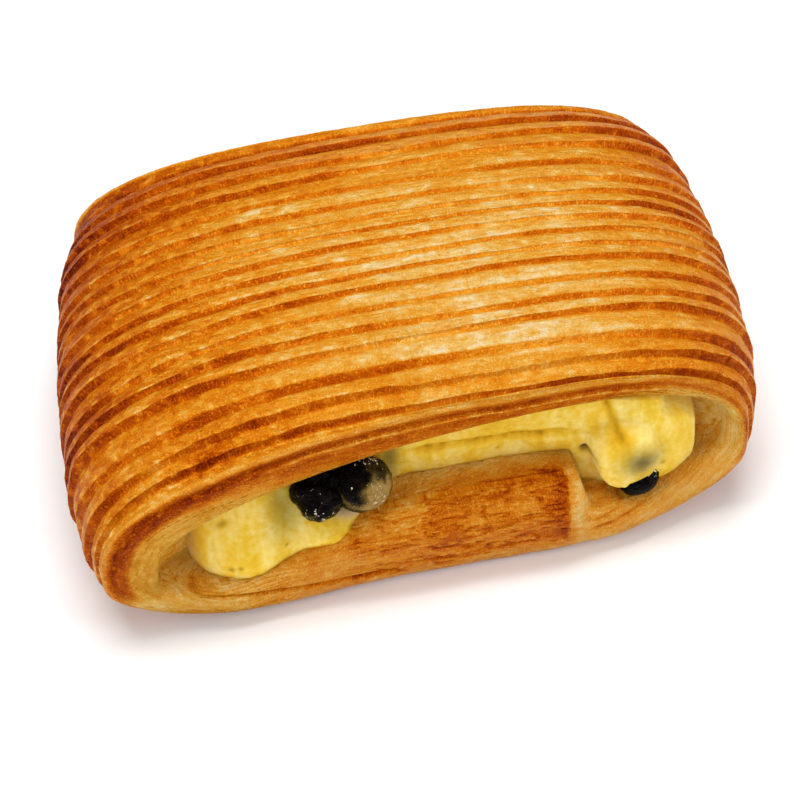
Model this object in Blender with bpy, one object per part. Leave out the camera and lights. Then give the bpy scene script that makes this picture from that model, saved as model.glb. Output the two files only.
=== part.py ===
"""Pain suisse: a baked sleeve of ridged laminated dough, filled with custard and chocolate drops.

Metres, +Z up. +X runs along the ridges and the open front mouth faces -Y. The origin is on the
table, under the middle of the whole. Sizes below are in millimetres.
"""
import math

import bmesh
import bpy
import numpy as np

MM = 0.001

# The loaf's skin: half sizes at its middle, and how they change from the front (-1) to the back (+1)
HALF_LENGTH = 66.4
LENGTH_TREND = (-0.029, -0.060, -0.058)     # parts of the half length, times s, s^2 and s^6
HEIGHT = 48.0
HEIGHT_TREND = (-0.015, -0.061, -0.109)     # parts of the height, times s, s^2 and s^6
HALF_DEPTH = 42.05
WIDEST_HEIGHT = 19.5                        # height at which the ends stand out furthest
END_SKEW = 2.3                              # the back is this much further right than the front
BASE_CUT = 0.6                              # the underside is pressed flat by this much
FRONT_FAN = (0.070, -0.098)                 # how much longer the front is at its left and right ends
SQUARENESS_LEFT = (2.25, 3.0)              # superellipse powers of the upper end, front and back
SQUARENESS_RIGHT = (2.66, 2.76)
SQUARENESS_BELOW = 2.84

# The scored ridges: their widths from the front to the back, at the left and the right end
FIRST_GROOVE = -37.9
RIDGES_LEFT = (3.1, 4.4, 6.4, 4.0, 4.0, 4.7, 4.4, 3.5, 3.9, 4.5, 3.6, 3.6, 4.9, 4.2, 4.2, 4.6, 5.4)
RIDGES_RIGHT = (3.7, 3.8, 6.4, 3.9, 5.1, 5.1, 3.6, 4.3, 3.7, 3.5, 3.3, 4.3, 4.8, 5.9, 5.1, 5.3, 5.2)
RIDGE_HEIGHT = 1.15
CREST = 0.25                                # where a ridge is highest, as a part of its width
RIDGE_STEPS = (0.0, CREST, 0.65)            # rows of points across a ridge

# The two mouths: how far each lip reaches, with its waves round the section
FRONT_REACH = -41.6
FRONT_WAVES = (2.95, 1.9, 1.1)              # millimetres, times cos t, sin t and sin 2t
FRONT_SWELLS = ((228, 26, -2.6), (298, 15, -1.3), (336, 16, 1.7))   # degrees, width and reach
BACK_REACH = 41.8
BACK_WAVES = (-0.6, -1.2, 0.5)
LIP_ROWS = 8
LIP_ROUNDNESS = 0.55                        # a lip's bulge: 0 is square and 1 is a sine arch
SKIN_TURN = 0.35                            # where the skin turns over, from its last groove to the reach
WALL_START = 4.5                            # how far behind its lip the hollow's wall begins

# The hollow that holds the custard
HOLLOW_LEFT = 52.0
HOLLOW_RIGHT = 50.5
HOLLOW_POWER = 3.0
CEILING = 35.6
CEILING_DROP = 5.0                          # the ceiling is this much lower at the left end
MIDDLE_HEIGHT = 18.5
MIDDLE_TILT = 4.5                           # the hollow's widest line rises by this to the right end
MOUTH_FLARE = (2.5, 5.5)                    # how much wider the left and right ends are at a mouth
FLARE_DEPTH = 10.0
FLARE_STEPS = (0.0, 0.35, 1.0)              # rows of points down the flare

# The inner end of the sheet, a thick flap that lies on the bottom layer
FLOOR_LEFT = 8.9
FLAP_RISE = 11.7
FLAP_FROM = -44.0
FLAP_FULL = -6.0
FLAP_END = 25.6
FLAP_END_WIDTH = 2.6
FLOOR_RIGHT = 8.0
CREASE_HEIGHT = 7.6                         # the crease between the bottom layer and the flap
CREASE_DEPTH = 1.3
CREASE_WIDTH = 1.6
BULGE_HEIGHT = 14.0                         # where the flap's edge stands out furthest
BULGE_DEPTH = 1.6
BULGE_WIDTH = 5.0

# The custard: its two faces and their lobes, each lobe as x, z, half width, half height and reach
GAP = 0.5                                   # between the custard and the dough
CUSTARD_CELLS = (10, 4)                     # columns of points left and right of the flap's end
FRONT_FACE = -34.0
FRONT_LOBES = ((-37.0, 10.0, 14.0, 17.0, 10.4), (38.0, 22.0, 12.0, 30.0, 3.0), (31.0, 16.0, 7.0, 6.0, 2.0))
BACK_FACE = 34.5
BACK_LOBES = ((-15.0, 22.0, 20.0, 30.0, 2.5), (30.0, 22.0, 12.0, 30.0, 2.0))
FACE_EDGE = (1.0, 3.0)                      # how far a face rounds off at its top and at its ends

# The chocolate drops, each as a centre and half sizes
DROP_GAP = 0.4
DROP_SIDES = 14
DROP_RINGS = 9
DROPS = {
    "chocolate_drop_front_left": ((-23.4, -38.6, 24.9), (4.4, 4.3, 4.9)),
    "chocolate_drop_front_middle": ((-13.6, -38.2, 25.2), (4.9, 4.8, 5.1)),
    "chocolate_drop_front_right": ((38.7, -38.9, 14.6), (4.0, 4.1, 3.9)),
    "chocolate_drop_back_left": ((-20.0, 37.0, 24.0), (4.4, 4.4, 4.4)),
    "chocolate_drop_back_right": ((18.0, 35.8, 26.6), (4.2, 4.6, 4.3)),
}

# How far the whole moves so that the origin is under the middle of its box
CENTRE_SHIFT = (0.45, 0.83)

SECTION_COLUMNS = 58                        # columns of points round the section

DOUGH_COLOUR = (0.62, 0.25, 0.05, 1.0)
CUSTARD_COLOUR = (0.83, 0.62, 0.13, 1.0)
CHOCOLATE_COLOUR = (0.020, 0.010, 0.006, 1.0)


def signed_power(value, power):
    """Raise the size of a value to a power and keep its sign."""
    return np.sign(value) * np.abs(value) ** power


def smooth_step(low, high, value):
    """Go smoothly from 0 at low to 1 at high."""
    part = np.clip((value - low) / (high - low), 0.0, 1.0)
    return part * part * (3.0 - 2.0 * part)


def hump(value, centre, width):
    """Give a soft bump of height 1 round a centre."""
    return np.exp(-((value - centre) / width) ** 2)


def trend(size, parts, s):
    """Change a size from front to back."""
    return size * (1.0 + parts[0] * s + parts[1] * s ** 2 + parts[2] * s ** 6)


def section_x(t, s):
    """Give the skin's sideways place in its section, from -1 to 1."""
    back = (s + 1.0) / 2.0
    left = SQUARENESS_LEFT[0] + (SQUARENESS_LEFT[1] - SQUARENESS_LEFT[0]) * back
    right = SQUARENESS_RIGHT[0] + (SQUARENESS_RIGHT[1] - SQUARENESS_RIGHT[0]) * back
    above = np.where(np.cos(t) < 0.0, left, right)
    power = np.where(np.sin(t) >= 0.0, above, SQUARENESS_BELOW)
    return signed_power(np.cos(t), 2.0 / power), signed_power(np.sin(t), 2.0 / power)


def plain_skin(t, s):
    """Give the skin without its ridges: t runs round the section and s from front to back."""
    across, up = section_x(t, s)
    height = trend(HEIGHT, HEIGHT_TREND, s) + BASE_CUT
    above = WIDEST_HEIGHT + (height - WIDEST_HEIGHT) * up
    z = np.where(up >= 0.0, above, WIDEST_HEIGHT * (1.0 + up))
    x = trend(HALF_LENGTH, LENGTH_TREND, s) * across + END_SKEW * s
    fan = 1.0 + FRONT_FAN[0] * np.clip(-across, 0, 1) ** 2 + FRONT_FAN[1] * np.clip(across, 0, 1) ** 2
    y = HALF_DEPTH * s * np.where(s < 0.0, fan, 1.0)
    return np.stack([x, y, np.maximum(z - BASE_CUT, 0.0)], axis=-1)


def skin_normal(t, s):
    """Give the direction that points out of the skin."""
    small = 1e-3
    along = plain_skin(t + small, s) - plain_skin(t - small, s)
    back = plain_skin(t, s + small) - plain_skin(t, s - small)
    out = np.cross(along, back)
    return -out / np.maximum(np.linalg.norm(out, axis=-1, keepdims=True), 1e-9)


def grooves(t):
    """Give the place of each groove from front to back, as s, for each place round the section."""
    across = (section_x(t, 0.0 * t)[0] + 1.0) / 2.0
    left = FIRST_GROOVE + np.concatenate([[0.0], np.cumsum(RIDGES_LEFT)])
    right = FIRST_GROOVE + np.concatenate([[0.0], np.cumsum(RIDGES_RIGHT)])
    number = np.arange(len(left))
    waver = 0.25 * np.sin(3.0 * t[:, None] + 1.7 * number) * (number > 0)
    place = left + (right - left) * across[:, None] + waver
    return place / HALF_DEPTH


def ridge_lift(phase):
    """Give a ridge's height at a part of its width: a steep front, a crest and a long back slope."""
    front = smooth_step(0.0, CREST, phase)
    slope = 1.0 - 0.75 * np.clip((phase - CREST) / (1.0 - CREST), 0.0, 1.0) ** 1.5
    return RIDGE_HEIGHT * front * slope


def ridge_share(t):
    """Fade the ridges out under the loaf, where it lies on the tray."""
    return smooth_step(-0.85, -0.35, np.sin(t))


def lip_reach(t, reach, waves, swells=()):
    """Give how far a lip reaches along Y, round the section."""
    place = reach + waves[0] * np.cos(t) + waves[1] * np.sin(t) + waves[2] * np.sin(2.0 * t)
    for angle, width, more in swells:
        place = place + more * hump(np.degrees(t), angle, width)
    return place


def hollow_floor(x, inset=0.0):
    """Give the height of the hollow's floor: the flap, and the bottom layer beyond its end."""
    flap = FLOOR_LEFT + FLAP_RISE * smooth_step(FLAP_FROM, FLAP_FULL, x)
    end = FLAP_END + inset
    past = smooth_step(end, end + FLAP_END_WIDTH, x)
    return flap + (FLOOR_RIGHT - flap) * past + inset


def hollow_middle(x):
    """Give the height of the hollow's widest line."""
    return MIDDLE_HEIGHT + MIDDLE_TILT * x / HOLLOW_RIGHT


def hollow_ceiling(x):
    """Give the height of the hollow's ceiling, which comes down to the left."""
    return CEILING - CEILING_DROP * smooth_step(-10.0, -48.0, x)


def hollow_wall(t, flare):
    """Give the hollow's outline in X and Z; flare is 1 at a mouth and 0 inside."""
    across = signed_power(np.cos(t), 2.0 / HOLLOW_POWER)
    up = signed_power(np.sin(t), 2.0 / HOLLOW_POWER)
    x = np.where(across < 0.0, HOLLOW_LEFT, HOLLOW_RIGHT) * across
    middle = hollow_middle(x)
    reach = np.where(up >= 0.0, hollow_ceiling(x) - middle, middle - hollow_floor(x))
    widening = np.where(across < 0.0, MOUTH_FLARE[0], MOUTH_FLARE[1]) * signed_power(across, 5.0)
    return x + flare * widening, middle + reach * up


def hollow_limits(x, inset):
    """Give the floor and the ceiling of the hollow at x, both moved in by inset."""
    half = np.where(x < 0.0, HOLLOW_LEFT, HOLLOW_RIGHT) - inset
    part = np.clip(np.abs(x) / half, 0.0, 1.0)
    open_share = (1.0 - part ** HOLLOW_POWER) ** (1.0 / HOLLOW_POWER)
    middle = hollow_middle(x)
    low = middle + (hollow_floor(x, inset) - middle) * open_share
    high = middle + (hollow_ceiling(x) - inset - middle) * open_share
    return low, high


def section_angles():
    """Spread the columns evenly round the section, with two more at the end of the flap."""
    fine = np.linspace(0.0, 2.0 * math.pi, 4001)
    line = plain_skin(fine, 0.0 * fine)
    length = np.concatenate([[0.0], np.cumsum(np.linalg.norm(np.diff(line, axis=0), axis=1))])
    even = np.interp(np.arange(SECTION_COLUMNS) / SECTION_COLUMNS * length[-1], length, fine)
    step = []
    for x in (FLAP_END, FLAP_END + FLAP_END_WIDTH):
        cosine = (x / HOLLOW_RIGHT) ** (HOLLOW_POWER / 2.0)
        step.append(2.0 * math.pi - math.acos(cosine))
    nearest = [np.argmin(np.abs(even - angle)) for angle in step]
    kept = np.delete(even, nearest)
    return np.sort(np.concatenate([kept, step]))


def lip_rows(t, start, end, reach, outward):
    """Turn the skin's edge over the lip and in to the hollow's edge, as rows of points.

    outward is -1 for the front lip and 1 for the back lip. Below the hollow the rows soon stand
    upright over each other, so that the end of the flap is square.
    """
    rows = []
    below = smooth_step(-0.2, -0.5, np.sin(t))
    for part in np.linspace(0.0, 1.0, LIP_ROWS + 2)[1:-1]:
        share = 0.5 - 0.5 * math.cos(math.pi * part)
        row = start + (end - start) * share
        upright = share + (smooth_step(0.0, 0.4, part) - share) * below
        row[:, 0] = start[:, 0] + (end[:, 0] - start[:, 0]) * upright
        bulge = math.sin(math.pi * part) ** LIP_ROUNDNESS
        row[:, 1] += (reach - row[:, 1]) * bulge
        row[:, 1] += outward * bulge * flap_relief(row[:, 0], row[:, 2])
        rows.append(row)
    return rows


def flap_relief(x, z):
    """Push the flap's edge out past the bottom layer, with a crease between the two."""
    below = smooth_step(BULGE_HEIGHT + 2.0 * BULGE_WIDTH, BULGE_HEIGHT, z)
    along = smooth_step(-HOLLOW_LEFT, FLAP_FROM, x) * smooth_step(FLAP_END + 2.0, FLAP_END - 1.0, x)
    rise = BULGE_DEPTH * hump(z, BULGE_HEIGHT, BULGE_WIDTH) * smooth_step(FLAP_FROM, FLAP_FULL, x)
    crease = CREASE_DEPTH * hump(z, CREASE_HEIGHT, CREASE_WIDTH)
    return below * along * (rise - crease)


def dough_rows(t):
    """Give every row of points of the dough's skin, lips and hollow, in order round the sheet."""
    groove = grooves(t)
    front = lip_reach(t, FRONT_REACH, FRONT_WAVES, FRONT_SWELLS)
    back = lip_reach(t, BACK_REACH, BACK_WAVES)
    fan = plain_skin(t, -1.0 + 0.0 * t)[:, 1] / -HALF_DEPTH
    share = ridge_share(t)[:, None]

    def skin_row(s, lift):
        return plain_skin(t, s) + skin_normal(t, s) * share * lift

    front_edge = groove[:, 0] + SKIN_TURN * (front / HALF_DEPTH / fan - groove[:, 0])
    back_edge = groove[:, -1] + SKIN_TURN * (back / HALF_DEPTH - groove[:, -1])
    skin = [skin_row(front_edge, RIDGE_HEIGHT)]
    for ridge in range(groove.shape[1] - 1):
        width = groove[:, ridge + 1] - groove[:, ridge]
        size = 1.0 + 0.25 * math.sin(2.3 * ridge)
        for phase in RIDGE_STEPS:
            skin.append(skin_row(groove[:, ridge] + phase * width, size * ridge_lift(phase)))
    skin.append(skin_row(groove[:, -1], 0.0))
    skin.append(skin_row(back_edge, RIDGE_HEIGHT))

    back_wall = wall_rows(t, back, -1.0)
    front_wall = wall_rows(t, front, 1.0)
    back_lip = lip_rows(t, skin[-1], back_wall[0], back, 1.0)
    front_lip = lip_rows(t, skin[0], front_wall[0], front, -1.0)
    return skin + back_lip + back_wall + front_wall[::-1] + front_lip[::-1]


def wall_rows(t, reach, inward):
    """Give the rows of points on the hollow's wall, from a mouth inwards along Y."""
    rows = []
    for part in FLARE_STEPS:
        x, z = hollow_wall(t, smooth_step(1.0, 0.0, part))
        rows.append(np.stack([x, reach + inward * (WALL_START + part * FLARE_DEPTH), z], axis=-1))
    return rows


def custard_columns():
    """Give the custard's columns along X, with a pair at the end of the flap."""
    start = -HOLLOW_LEFT + GAP
    end = HOLLOW_RIGHT - GAP
    step = FLAP_END + GAP
    left = np.linspace(0.0, math.pi / 2.0, CUSTARD_CELLS[0])
    right = np.linspace(0.0, math.pi / 2.0, CUSTARD_CELLS[1])
    before = start + (step - start) * (1.0 - np.cos(left))
    after = step + FLAP_END_WIDTH + (end - step - FLAP_END_WIDTH) * np.sin(right)
    return np.concatenate([before, after])


def lobes(x, z, sizes):
    """Add up the lobes that stand out of a face of the custard."""
    total = 0.0 * x
    for lobe_x, lobe_z, half_width, half_height, reach in sizes:
        total = total + reach * hump(x, lobe_x, half_width) * hump(z, lobe_z, half_height)
    return total


def custard_point(a, b, c, columns):
    """Place a point of the custard from its place in a block, each of a, b and c from -1 to 1."""
    x = np.interp(a, np.linspace(-1.0, 1.0, len(columns)), columns)
    low, high = hollow_limits(x, GAP)
    z = low + (high - low) * (c + 1.0) / 2.0
    rounding = FACE_EDGE[0] * np.abs(c) ** 6 + FACE_EDGE[1] * np.abs(a) ** 8
    front = FRONT_FACE - lobes(x, z, FRONT_LOBES) + rounding
    back = BACK_FACE + lobes(x, z, BACK_LOBES) - rounding
    y = front + (back - front) * (b + 1.0) / 2.0
    return np.stack([x, y, z], axis=-1)


def clear_scene():
    """Remove what the file starts with."""
    for thing in list(bpy.data.objects):
        bpy.data.objects.remove(thing, do_unlink=True)


def new_collection(name):
    """Add a collection to the scene."""
    collection = bpy.data.collections.new(name)
    bpy.context.scene.collection.children.link(collection)
    return collection


def new_material(name, colour, roughness):
    """Make a plain Principled material."""
    material = bpy.data.materials.new(name)
    material.use_nodes = True
    shader = material.node_tree.nodes["Principled BSDF"]
    shader.inputs["Base Color"].default_value = colour
    shader.inputs["Roughness"].default_value = roughness
    shader.inputs["Metallic"].default_value = 0.0
    material.diffuse_color = colour
    return material


def add_object(name, mesh, material, collection):
    """Put a finished mesh in the scene under its sub-part's name."""
    mesh.name = name
    mesh.materials.clear()
    mesh.materials.append(material)
    thing = bpy.data.objects.new(name, mesh)
    collection.objects.link(thing)
    return thing


def shift(points):
    """Move points to the part's own origin and turn millimetres to metres."""
    return (points + np.array([CENTRE_SHIFT[0], CENTRE_SHIFT[1], 0.0])) * MM


def set_points(mesh, points):
    """Give a mesh new points, and turn every face outwards."""
    mesh.vertices.foreach_set("co", shift(points).astype(np.float32).ravel())
    work = bmesh.new()
    work.from_mesh(mesh)
    bmesh.ops.recalc_face_normals(work, faces=work.faces[:])
    work.to_mesh(mesh)
    work.free()
    mesh.update()


def make_dough(material, collection):
    """Shape a torus into the sheet: skin, two lips and the hollow."""
    t = section_angles()
    rows = dough_rows(t)
    ring, tube = len(t), len(rows)
    bpy.ops.mesh.primitive_torus_add(major_segments=ring, minor_segments=tube,
                                     major_radius=2.0, minor_radius=1.0)
    torus = bpy.context.object
    mesh = torus.data.copy()
    bpy.data.objects.remove(torus, do_unlink=True)
    place = np.empty(len(mesh.vertices) * 3)
    mesh.vertices.foreach_get("co", place)
    place = place.reshape(-1, 3)
    column = np.arctan2(place[:, 1], place[:, 0]) / (2.0 * math.pi) * ring
    radius = np.hypot(place[:, 0], place[:, 1]) - 2.0
    row = np.arctan2(place[:, 2], radius) / (2.0 * math.pi) * tube
    column = np.round(column).astype(int) % ring
    row = np.round(row).astype(int) % tube
    set_points(mesh, np.array(rows)[row, column])
    mesh.shade_smooth()
    return add_object("dough", mesh, material, collection)


def make_custard(material, collection):
    """Shape a cut-up block into the custard that fills the hollow from mouth to mouth."""
    columns = custard_columns()
    work = bmesh.new()
    bmesh.ops.create_cube(work, size=2.0)
    bmesh.ops.subdivide_edges(work, edges=work.edges[:], cuts=len(columns) - 2, use_grid_fill=True)
    mesh = bpy.data.meshes.new("custard")
    work.to_mesh(mesh)
    work.free()
    place = np.empty(len(mesh.vertices) * 3)
    mesh.vertices.foreach_get("co", place)
    a, b, c = place.reshape(-1, 3).T
    set_points(mesh, custard_point(a, b, c, columns))
    mesh.shade_smooth()
    return add_object("custard", mesh, material, collection)


def drop_mesh(centre, half, extra):
    """Make one rounded drop with slightly uneven sides; extra makes it larger all round."""
    work = bmesh.new()
    bmesh.ops.create_uvsphere(work, u_segments=DROP_SIDES, v_segments=DROP_RINGS, radius=1.0)
    for vertex in work.verts:
        x, y, z = vertex.co
        swell = 1.0 + 0.05 * math.sin(3.0 * x + 2.0 * z + centre[0])
        vertex.co = (x * swell, y * swell, z * swell)
    mesh = bpy.data.meshes.new("drop")
    work.to_mesh(mesh)
    work.free()
    place = np.empty(len(mesh.vertices) * 3)
    mesh.vertices.foreach_get("co", place)
    points = place.reshape(-1, 3) * (np.array(half) + extra) + np.array(centre)
    set_points(mesh, points)
    mesh.shade_smooth()
    return mesh


def cut_pockets(custard, cutters):
    """Cut the drops' pockets out of the custard."""
    for number, cutter in enumerate(cutters):
        cut = custard.modifiers.new(f"pocket_{number}", "BOOLEAN")
        cut.operation = "DIFFERENCE"
        cut.object = cutter


def main():
    """Build the pastry."""
    clear_scene()
    pastry = new_collection("pain_suisse")
    guides = new_collection("cutters")
    dough = new_material("baked_dough", DOUGH_COLOUR, 0.4)
    yellow = new_material("custard", CUSTARD_COLOUR, 0.35)
    dark = new_material("dark_chocolate", CHOCOLATE_COLOUR, 0.2)
    make_dough(dough, pastry)
    custard = make_custard(yellow, pastry)
    cutters = []
    for name, (centre, half) in DROPS.items():
        add_object(name, drop_mesh(centre, half, 0.0), dark, pastry)
        cutter = add_object(f"pocket_{name}", drop_mesh(centre, half, DROP_GAP), dark, guides)
        cutter.hide_render = True
        cutter.display_type = "WIRE"
        cutters.append(cutter)
    cut_pockets(custard, cutters)


main()
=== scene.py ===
"""Looks of a pain suisse: a scored, egg-washed sleeve of laminated dough with custard and chocolate.

Lengths are in millimetres until a piece's points are set, which turns them to metres. The forms are
the solids' own, made fine: +X runs along the ridges, the open front mouth faces -Y and Z is up.
"""
import math

import bmesh
import bpy
import numpy as np
from mathutils import Matrix, Vector


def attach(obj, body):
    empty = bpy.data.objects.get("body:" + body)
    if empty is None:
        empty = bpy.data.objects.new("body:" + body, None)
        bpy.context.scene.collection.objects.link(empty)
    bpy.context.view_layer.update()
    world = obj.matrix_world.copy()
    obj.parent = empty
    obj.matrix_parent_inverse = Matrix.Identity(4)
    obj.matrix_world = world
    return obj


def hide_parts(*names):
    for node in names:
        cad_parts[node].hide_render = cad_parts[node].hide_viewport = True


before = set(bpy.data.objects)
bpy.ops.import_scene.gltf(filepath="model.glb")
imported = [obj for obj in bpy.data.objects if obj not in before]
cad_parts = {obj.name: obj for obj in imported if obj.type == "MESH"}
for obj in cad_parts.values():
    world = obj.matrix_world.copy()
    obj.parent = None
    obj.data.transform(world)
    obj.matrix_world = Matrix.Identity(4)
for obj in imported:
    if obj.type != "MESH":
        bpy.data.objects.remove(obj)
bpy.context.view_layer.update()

MM = 0.001

# The loaf's skin, with the solids' own values; a trend changes a size from front to back
HALF_LENGTH = 66.4
LENGTH_TREND = (-0.029, -0.060, -0.058)
HEIGHT = 48.0
HEIGHT_TREND = (-0.015, -0.061, -0.109)
HALF_DEPTH = 42.05
WIDEST_HEIGHT = 19.5
END_SKEW = 2.3
BASE_CUT = 0.6
FRONT_FAN = (0.070, -0.098)
SQUARENESS_LEFT = (2.25, 3.0)
SQUARENESS_RIGHT = (2.66, 2.76)
SQUARENESS_BELOW = 2.84

# The scored ridges
FIRST_GROOVE = -37.9
RIDGES_LEFT = (3.1, 4.4, 6.4, 4.0, 4.0, 4.7, 4.4, 3.5, 3.9, 4.5, 3.6, 3.6, 4.9, 4.2, 4.2, 4.6, 5.4)
RIDGES_RIGHT = (3.7, 3.8, 6.4, 3.9, 5.1, 5.1, 3.6, 4.3, 3.7, 3.5, 3.3, 4.3, 4.8, 5.9, 5.1, 5.3, 5.2)
RIDGE_HEIGHT = 1.15
WAVER = ((17.0, 0.30), (5.5, 0.13), (1.9, 0.06))    # length and reach of the waves in a groove's line
SLOPE_SHARE = (0.08, 0.11)                  # a ridge's steep front, as a part of its width
SLOPE_STEPS = (0.0, 0.35, 0.65, 0.87)       # rows of points on the steep front, up to its crest
TOP_STEPS = (0.0, 0.04, 0.12, 0.24, 0.38, 0.52, 0.66, 0.79, 0.9)
ROLL_STEPS = (0.0, 0.14, 0.28, 0.42, 0.56, 0.70, 0.82, 0.92)

# How brown the skin is baked, from 0, cream, to 1, dark brown: along X, and what the edges add
TOP_BAKE = ((-66, 0.70), (-57, 0.61), (-43, 0.47), (-28, 0.34), (-14, 0.25), (0, 0.20), (28, 0.19),
            (43, 0.30), (57, 0.43), (66, 0.48))
BACK_BAKE = 0.24
FRONT_BAKE = 0.13
LINE_BAKE = 0.26                            # what a groove adds

# The two mouths
FRONT_REACH = -41.6
FRONT_WAVES = (2.95, 1.9, 1.1)
FRONT_SWELLS = ((228, 26, -2.6), (298, 15, -1.3), (336, 16, 1.7))
BACK_REACH = 41.8
BACK_WAVES = (-0.6, -1.2, 0.5)
LIP_ROWS = 84
LIP_ROUNDNESS = 0.55
SKIN_TURN = 0.35
WALL_START = 4.5
WALL_BAKE = 0.24
WALL_BLEND = (1.5, 6.0)                     # between these depths a lip's marks fade into the wall's
LIP_APART = 3.0                             # keeps the patterns of the two lips apart
JOIN_WIDTH = 1.2                            # over this width the skin's marks fade into a lip's
# How wide the glazed part of each lip is along X
COVERED_FRONT = ((-66, 6.4), (-52, 6.6), (-42, 7.6), (-30, 9.5), (20, 9.0), (34, 5.4), (50, 3.4))
COVERED_BACK = ((-66, 5.4), (66, 5.4))
# The bake of a lip, from the skin's edge inwards: on the left, in the middle and on the right. In the middle
# the pale dip 4.25 mm in is partly a painted glint along a thin crest
LIP_BAKE_LEFT = ((0.0, 0.36), (0.5, 0.28), (1.4, 0.32), (2.0, 0.56), (2.8, 0.82), (4.4, 0.86), (5.4, 0.74),
                 (6.2, 0.52), (7.0, 0.30), (9.0, 0.24))
LIP_BAKE = ((0.0, 0.34), (0.5, 0.26), (1.6, 0.30), (2.4, 0.60), (3.3, 0.74), (3.9, 0.58), (4.25, 0.34),
            (4.7, 0.58), (5.8, 0.64), (7.0, 0.60), (9.0, 0.56))
LIP_BAKE_RIGHT = ((0.0, 0.40), (0.8, 0.34), (1.5, 0.44), (2.2, 0.62), (2.8, 0.52), (3.4, 0.36), (5.0, 0.26),
                  (8.0, 0.20))
LIP_RELIEF = ((0.0, 0.0), (0.8, 0.30), (1.8, 0.28), (3.2, -0.35), (4.2, 0.25), (5.2, 0.0), (7.0, 0.0))
LAYER_PITCH = 0.80                          # thickness of the open layers
# How the hollow's ends close in behind the mouths: from and to these places on X, and how far
FUNNEL = ((-41.0, -52.0, 6.0), (38.0, 50.0, -2.6))
FUNNEL_DEPTH = 0.55
# Its upper right corner closes in more: between these heights and places on X, downwards and inwards
UPPER_PART = (20.0, 30.0)
CORNER_DROP = (41.0, 51.0, 4.5)
CORNER_SHIFT = (41.0, 50.0, 2.5)
WALL_GLAZED = (42.0, 49.0)                  # between these places on X the wall's glaze begins

# Soft spots, each with a centre, half sizes and a height. On the skin they lie in X and across the ridges
FLAKED_SKIN = ((-23.0, 15.8, 7.0, 2.0, 1.0),)
DARK_BLOT = ((-45.0, -37.0, 4.5, 1.5, 1.0),)
CREAM_AND_SHEEN_BAND = (-27.2, 2.6)                   # a pale band along the front, partly paler dough and partly a painted sheen of the top light: its middle and half width
# On the lips they lie in X and Z, and the golden one in X and along the slant of the flap's front
DARK_FOLD = ((32.0, 9.5, 5.0, 4.0, 1.0),)
PANEL_SPOTS = ((-0.5, 14.0, 4.0, 5.0, 0.8), (-9.0, 19.0, 5.0, 4.0, -0.9))
GOLDEN_SPOT = ((-3.5, -17.5, 4.5, 3.0, 0.14),)
PANEL_START = (-24.0, -6.0)                 # the browned, crinkled front of the flap fades in along X
PANEL_TOP = 38.2                            # its upper edge, as a distance from the middle along Y
CRINKLE_SIZE = (5.0, 0.80)                  # length and spacing of its crinkles
PAINTED_CREST_GLINT_SIZE = (0.8, 0.40)                    # the same of the painted glints, pale flecks that also rise, on their crests
# Slanting cuts right of the flap, darkened with painted shade: height at their start, slope, half width and
# strength
SLANT_START = 29.0
SLANTING_CUTS = ((7.4, 0.25, 0.28, 1.0), (9.6, 0.34, 0.22, 0.8))
# Patterns on the dough: length round the section and width across it in millimetres, and a seed
PATTERNS = {
    "cloud": (12.0, 5.0, 5),
    "small cloud": (4.5, 2.0, 6),
    "puff": (3.2, 1.7, 8),
    "blister": (1.9, 1.1, 9),
    "torn skin": (2.6, 1.9, 12),
    "painted_glint_fleck": (1.3, 0.6, 14),
    "cream_and_painted_sheen": (5.0, 3.0, 15),
    "fine": (8.0, 0.42, 22),
    "rough": (1.5, 0.8, 23),
    "lip swell": (6.0, 3.0, 25),
    "painted_wet_glint": (1.3, 0.5, 27),
    "layer wave": (6.0, 1.7, 28),
    "layer shown": (7.0, 1.6, 29),
}

# The hollow
HOLLOW_LEFT = 52.0
HOLLOW_RIGHT = 50.5
HOLLOW_POWER = 3.0
CEILING = 35.6
CEILING_DROP = 5.0
SAG = 2.4                                   # the upper lip sags a little left of the drops
SAG_AT = -17.0
SAG_WIDTH = 17.0
MIDDLE_HEIGHT = 18.5
MIDDLE_TILT = 4.5
MOUTH_FLARE = (2.5, 5.5)
FLARE_DEPTH = 10.0
FLARE_STEPS = (0.0, 0.03, 0.07, 0.11, 0.15, 0.2, 0.25, 0.3, 0.36, 0.42, 0.49, 0.57, 0.66, 0.8, 1.0)

# The flap of dough that lies on the bottom layer
FLOOR_LEFT = 8.9
FLAP_RISE = 11.7
FLAP_FROM = -44.0
FLAP_FULL = -6.0
FLAP_END = 25.6
FLAP_END_WIDTH = 2.6
FLOOR_RIGHT = 8.0
FLOOR_RAMP = 4.0
RAMP_ENDS = (39.0, 29.0)
BULGE_HEIGHT = 14.0
BULGE_DEPTH = 1.6
BULGE_WIDTH = 5.0
CREASE_LINE = ((-59.0, 17.0), (-55.0, 14.6), (-47.3, 10.2), (-38.0, 8.5), (-23.0, 5.8), (-8.0, 4.6))
CREASE_WIDTH = 0.45
CREASE_DEPTH = 1.2

# The custard; its spots lie in X and Z
FRONT_FACE = -34.0
FRONT_LOBES = ((-37.0, 10.0, 14.0, 17.0, 10.4), (38.0, 22.0, 12.0, 30.0, 3.6), (-18.5, 15.0, 7.5, 5.5, 9.6))
RIGHT_MASS = ((43.5, 20.0, 8.0, 9.5, 3.4),)
BACK_FACE = 34.5
BACK_LOBES = ((-15.0, 22.0, 20.0, 30.0, 2.5), (30.0, 22.0, 12.0, 30.0, 2.0))
FACE_EDGE = (1.0, 3.0)                      # how far the face draws back above and below, and at its sides
RIGHT_TURN = (0.975, 1.0, 3.0)              # the ends turn back between these shares, and how far
LEFT_TURN = (0.84, 0.97, 6.0)
RIGHT_SQUARENESS = 5.0
RIGHT_FOOT = (12.5, 8.5, 2.5)               # the right part draws back between these heights, and how far
CORNER_CENTRE = (43.0, 19.0)                # the upper right corner is rounded off round this place
CORNER_HALF = (9.0, 11.0)
CORNER_DEPTH = 7.0
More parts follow.
